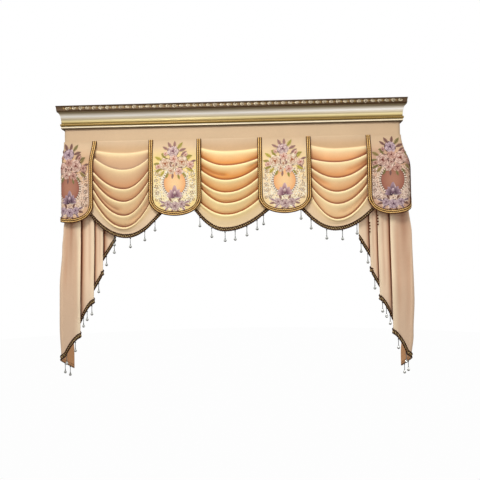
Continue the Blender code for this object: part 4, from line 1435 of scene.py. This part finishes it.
def tail_line(which):
    """The tail's stations from its inner edge to the wall."""
    fronts = TAILS[which]
    line = [Station(fronts[0].edge, 0.0, fronts[0].hem, 0, 0.0)]
    for number, (front, after) in enumerate(zip(fronts, fronts[1:])):
        valley = after.edge + PLEAT_OVERLAP
        shown = after.edge - front.edge
        gap = after.hem - front.hidden
        for share in shares(FRONT_STEPS)[1:]:
            back = PLEAT_DEPTH * shown * share / (valley - front.edge)
            hem = blend(front.hem, front.hidden, share ** front.bend)
            deep = share + 0.32 * ease((share - 0.80) / 0.16)
            line.append(Station(front.edge + shown * share, back, hem, number, deep))
        for share in shares(TURN_STEPS):
            s = valley - VALLEY_RADIUS * (1 - math.sin(math.pi * share))
            back = PLEAT_DEPTH - VALLEY_RADIUS * (1 - math.cos(math.pi * share))
            line.append(Station(s, back, front.hidden + gap * blend(*VALLEY_FALL, share), None, HIDDEN_DEPTH))
        for share in shares(TURN_STEPS):
            s = after.edge + FOLD_RADIUS * (1 - math.sin(math.pi * share))
            back = FOLD_RADIUS * (1 + math.cos(math.pi * share))
            hem = front.hidden + gap * blend(*FOLD_FALL, share)
            line.append(Station(s, back, hem, number + 1 if share == 1 else None, blend(0.8, 0.0, share)))
    return line + tail_corner_and_return(fronts[-1])


def tail_corner_and_return(last):
    """The last front's way to the box's corner, round it and along the return."""
    line = []
    for share in shares(2 * FRONT_STEPS)[1:]:
        s = blend(last.edge + FOLD_RADIUS, FRONT_STRAIGHT, share)
        hem = blend(last.hem, last.hidden, share ** last.bend)
        line.append(Station(s, 0.0, hem, OUTER_FRONT, 0.35 * share))
    for share in shares(CORNER_STEPS)[1:]:
        hem = last.hidden + TAIL_CORNER_FALL * share
        front = RETURN_FRONT if share == 1 else None
        line.append(Station(FRONT_STRAIGHT + CORNER_ARC * share, 0.0, hem, front, 0.45))
    for share in shares(RETURN_STEPS)[1:]:
        s = blend(FRONT_STRAIGHT + CORNER_ARC, LINE_END, share)
        hem = blend(last.hidden + TAIL_CORNER_FALL, TAIL_END_DROP, share)
        line.append(Station(s, 0.0, hem, RETURN_FRONT, 0.4))
    return line


def tail_trough(which, station, drop):
    """How deep the long soft troughs are at a place on the tail's fronts."""
    trough = 0.0
    for front, s, drift, start, end, depth in TAIL_CREASES[which]:
        if front == station.front:
            off = (station.s - s - drift * (drop - start)) / TAIL_CREASE_WIDTH
            window = ease((drop - start) / TAIL_CREASE_FADES[0]) * ease((end - drop) / TAIL_CREASE_FADES[1])
            trough += depth * window * math.exp(-off * off)
    return trough


def soft_valley(which, station, drop):
    off = (station.s - SOFT_VALLEY_S[which]) / SOFT_VALLEY_WIDTH
    fade = 1 - ease((drop - TAIL_TOP_DROP) / (SOFT_VALLEY_END_DROP - TAIL_TOP_DROP))
    return math.exp(-off * off) * fade if station.front == OUTER_FRONT else 0.0


def tail_point(which, station, drop):
    """The tail's cloth at a station of its line: pressed flatter at the heading, flared and spread below."""
    squeeze_length = SQUEEZE_END_DROP - TAIL_TOP_DROP
    squeeze = blend(HEADING_SQUEEZE, 1.0, ease((drop - TAIL_TOP_DROP) / squeeze_length))
    flare = between_knots(FRONT_FLARE, drop)
    soft = SOFT_VALLEY_DEPTH * soft_valley(which, station, drop)
    soft += tail_trough(which, station, drop)
    point = wrap(station.s, TAIL_FRONT_OUT - station.back * squeeze + flare - soft, drop)
    last_edge = TAILS[which][-1].edge + FOLD_RADIUS
    to_corner = clamp((station.s - last_edge) / (FRONT_STRAIGHT - last_edge))
    along_return = clamp((station.s - FRONT_STRAIGHT) / (LINE_END - FRONT_STRAIGHT))
    spread = to_corner * blend(1.0, WALL_REACH, along_return) if station.back == 0 else 0.0
    point.x += (between_knots(SIDE_REACH[which], drop) - flare) * spread
    point.x *= TAIL_SIDE[which]
    return point


def outward(points, index):
    """The level step that moves a line of points outward by 1, kept parallel to it at its bends."""
    before = points[index] - points[index - 1] if index else points[1] - points[0]
    after = points[index + 1] - points[index] if index + 1 < len(points) else before
    squares = [Vector((step.y, -step.x, 0.0)).normalized() for step in (before, after)]
    middle = (squares[0] + squares[1]).normalized()
    return middle / middle.dot(squares[0])


def outward_at(which, line, index, drop):
    """A place on the tail's line at a drop, with the level step outward there."""
    level = [tail_point(which, station, drop) for station in line[max(0, index - 1):index + 2]]
    here = 1 if index else 0
    return level[here], outward(level, here)


def trim_point(which, line, index, above):
    """A point on the middle of the tail's braid, square off the tail's line at that level."""
    place, step = outward_at(which, line, index, line[index].hem - above)
    return place + step * BRAID_OUT * TAIL_SIDE[which]


def tail_colour(which, station, drop):
    # Painted highlight on fold edges; painted shade on the outer front, the return and valleys; painted
    # shadow by each fold.
    outer = station.front == OUTER_FRONT
    if station.front == RETURN_FRONT or station.s > FRONT_STRAIGHT:
        return mix(TAIL_FACE, TAIL_OUTER_SHADE, 0.6)
    shade = TAIL_SHADOW_LINE
    if station.deep <= HIDDEN_DEPTH:
        shade = mix(TAIL_EDGE_HIGHLIGHT, TAIL_OUTER_SHADE if outer else TAIL_FACE, station.deep / (0.12 if outer else 0.30))
        shade = mix(shade, TAIL_VALLEY_SHADE, 0.8 * ease((station.deep - 0.52) / 0.46))
        shade = mix(shade, TAIL_SHADOW_LINE, ease((station.deep - 0.98) / 0.26))
    soft = soft_valley(which, station, drop)
    shade = mix(shade, mix(TAIL_VALLEY_SHADE, TAIL_SHADOW_LINE, 0.35), min(1.0, 1.4 * soft))
    shade = mix(shade, TAIL_VALLEY_SHADE, TAIL_CREASE_SHADE * tail_trough(which, station, drop))
    return mix(shade, TAIL_FOOT, 0.40 * ease((drop - 0.85) / 0.5))


# Small dark beads sewn down the right tail's pleats: the front's number, the first drop and how many.
SEWN_BEADS = ((1, 0.682, 4), (2, 0.642, 4))
SEWN_BEAD = ((0.0000, 0.0006), (0.0018, 0.0034), (0.0045, 0.0044), (0.0072, 0.0034), (0.0090, 0.0006))
SEWN_PITCH = 0.0165
SEWN_OUT = Vector((-0.0030, -0.0040, 0.0))
SEWN_COLOUR = colour("5E2416")


def add_sewn_beads(heap, line):
    for front, first, count in SEWN_BEADS:
        station = next(place for place in line if place.front == front)
        for number in range(count):
            place = tail_point("right", station, first + SEWN_PITCH * number) + SEWN_OUT
            add_turned(heap, place, SEWN_BEAD, 8, 0, SEWN_COLOUR)


def trim_foot(line, foot, front, s):
    """The foot of the tail's braid at s on one front."""
    seen = [index for index, station in enumerate(line) if station.front == front]
    for index, after in zip(seen, seen[1:]):
        if line[index].s <= s <= line[after].s:
            return foot[index].lerp(foot[after], (s - line[index].s) / (line[after].s - line[index].s))
    raise ValueError(f"no cloth at {s} on front {front}")


def add_tail(which, cloth, lining):
    line = tail_line(which)
    rows = []
    for down in shares(TAIL_ROWS):
        cells = []
        for station in line:
            drop = blend(TAIL_TOP_DROP, station.hem, down)
            cells.append((tail_point(which, station, drop), tail_colour(which, station, drop)))
        rows.append(cells[::TAIL_SIDE[which]])
    return add_cloth(f"tail_{which}_cloth", rows, [cloth, lining], "swag_cloth", f"tail_{which}")


def add_tail_trim(which, thread, beads):
    line = tail_line(which)
    foot, top, normals = [], [], []
    for index, station in enumerate(line):
        round_corner = ease((station.s - FRONT_STRAIGHT) / (2 * CORNER_ARC))
        height = blend(TAIL_TRIM_HEIGHT, RETURN_TRIM_HEIGHT, round_corner)
        foot.append(trim_point(which, line, index, 0.0))
        top.append(trim_point(which, line, index, height))
        normals.append(outward_at(which, line, index, station.hem)[1].normalized() * TAIL_SIDE[which])
    heap = Heap()
    add_dark_braid(heap, (foot, top, normals))
    if which == "right":
        add_sewn_beads(heap, line)
    braid = dress(heap.build(f"tail_{which}_braid", [thread]), "dark_braid", f"tail_trim_{which}")
    places = [trim_foot(line, foot, front, s) for front, s in TAIL_PENDANTS[which]]
    return [braid, add_pendants(f"tail_{which}_pendants", places, beads)]


def main():
    add_surroundings()
    beige = tinted_cloth("beige_cloth", 0.75, 0.10)
    satin = tinted_cloth("peach_satin", 0.48, 0.25, 0.15)
    panel = tinted_cloth("panel_cloth", 0.70, 0.10)
    lining = plain("tail_lining", "DFA673", 0.70)
    dark_thread = tinted_thread("dark_thread", 0.65, 0.0)
    gold_thread = tinted_thread("gold_thread", 0.45, 0.20)
    silk_thread = tinted_thread("silk_thread", 0.60, 0.0)
    beads = [plain("smoked_bead", "2E2822", 0.18),
             plain("clear_bead", "767A79", 0.12, Transmission_Weight=0.20),
             plain("cut_crystal", "D2D6D4", 0.05, Transmission_Weight=0.35)]
    add_cornice()
    add_yoke(beige)
    for which, swag in SWAGS.items():
        piece = add_swag(which, satin)
        extras = add_swag_trim(which, dark_thread, beads)
    for which, tab in TABS.items():
        piece = add_tab(which, panel)
        extras = [add_tab_braid(which, gold_thread), add_embroidery(which, silk_thread)]
    for which in TAILS:
        piece = add_tail(which, satin, lining)
        extras = add_tail_trim(which, dark_thread, beads)


main()
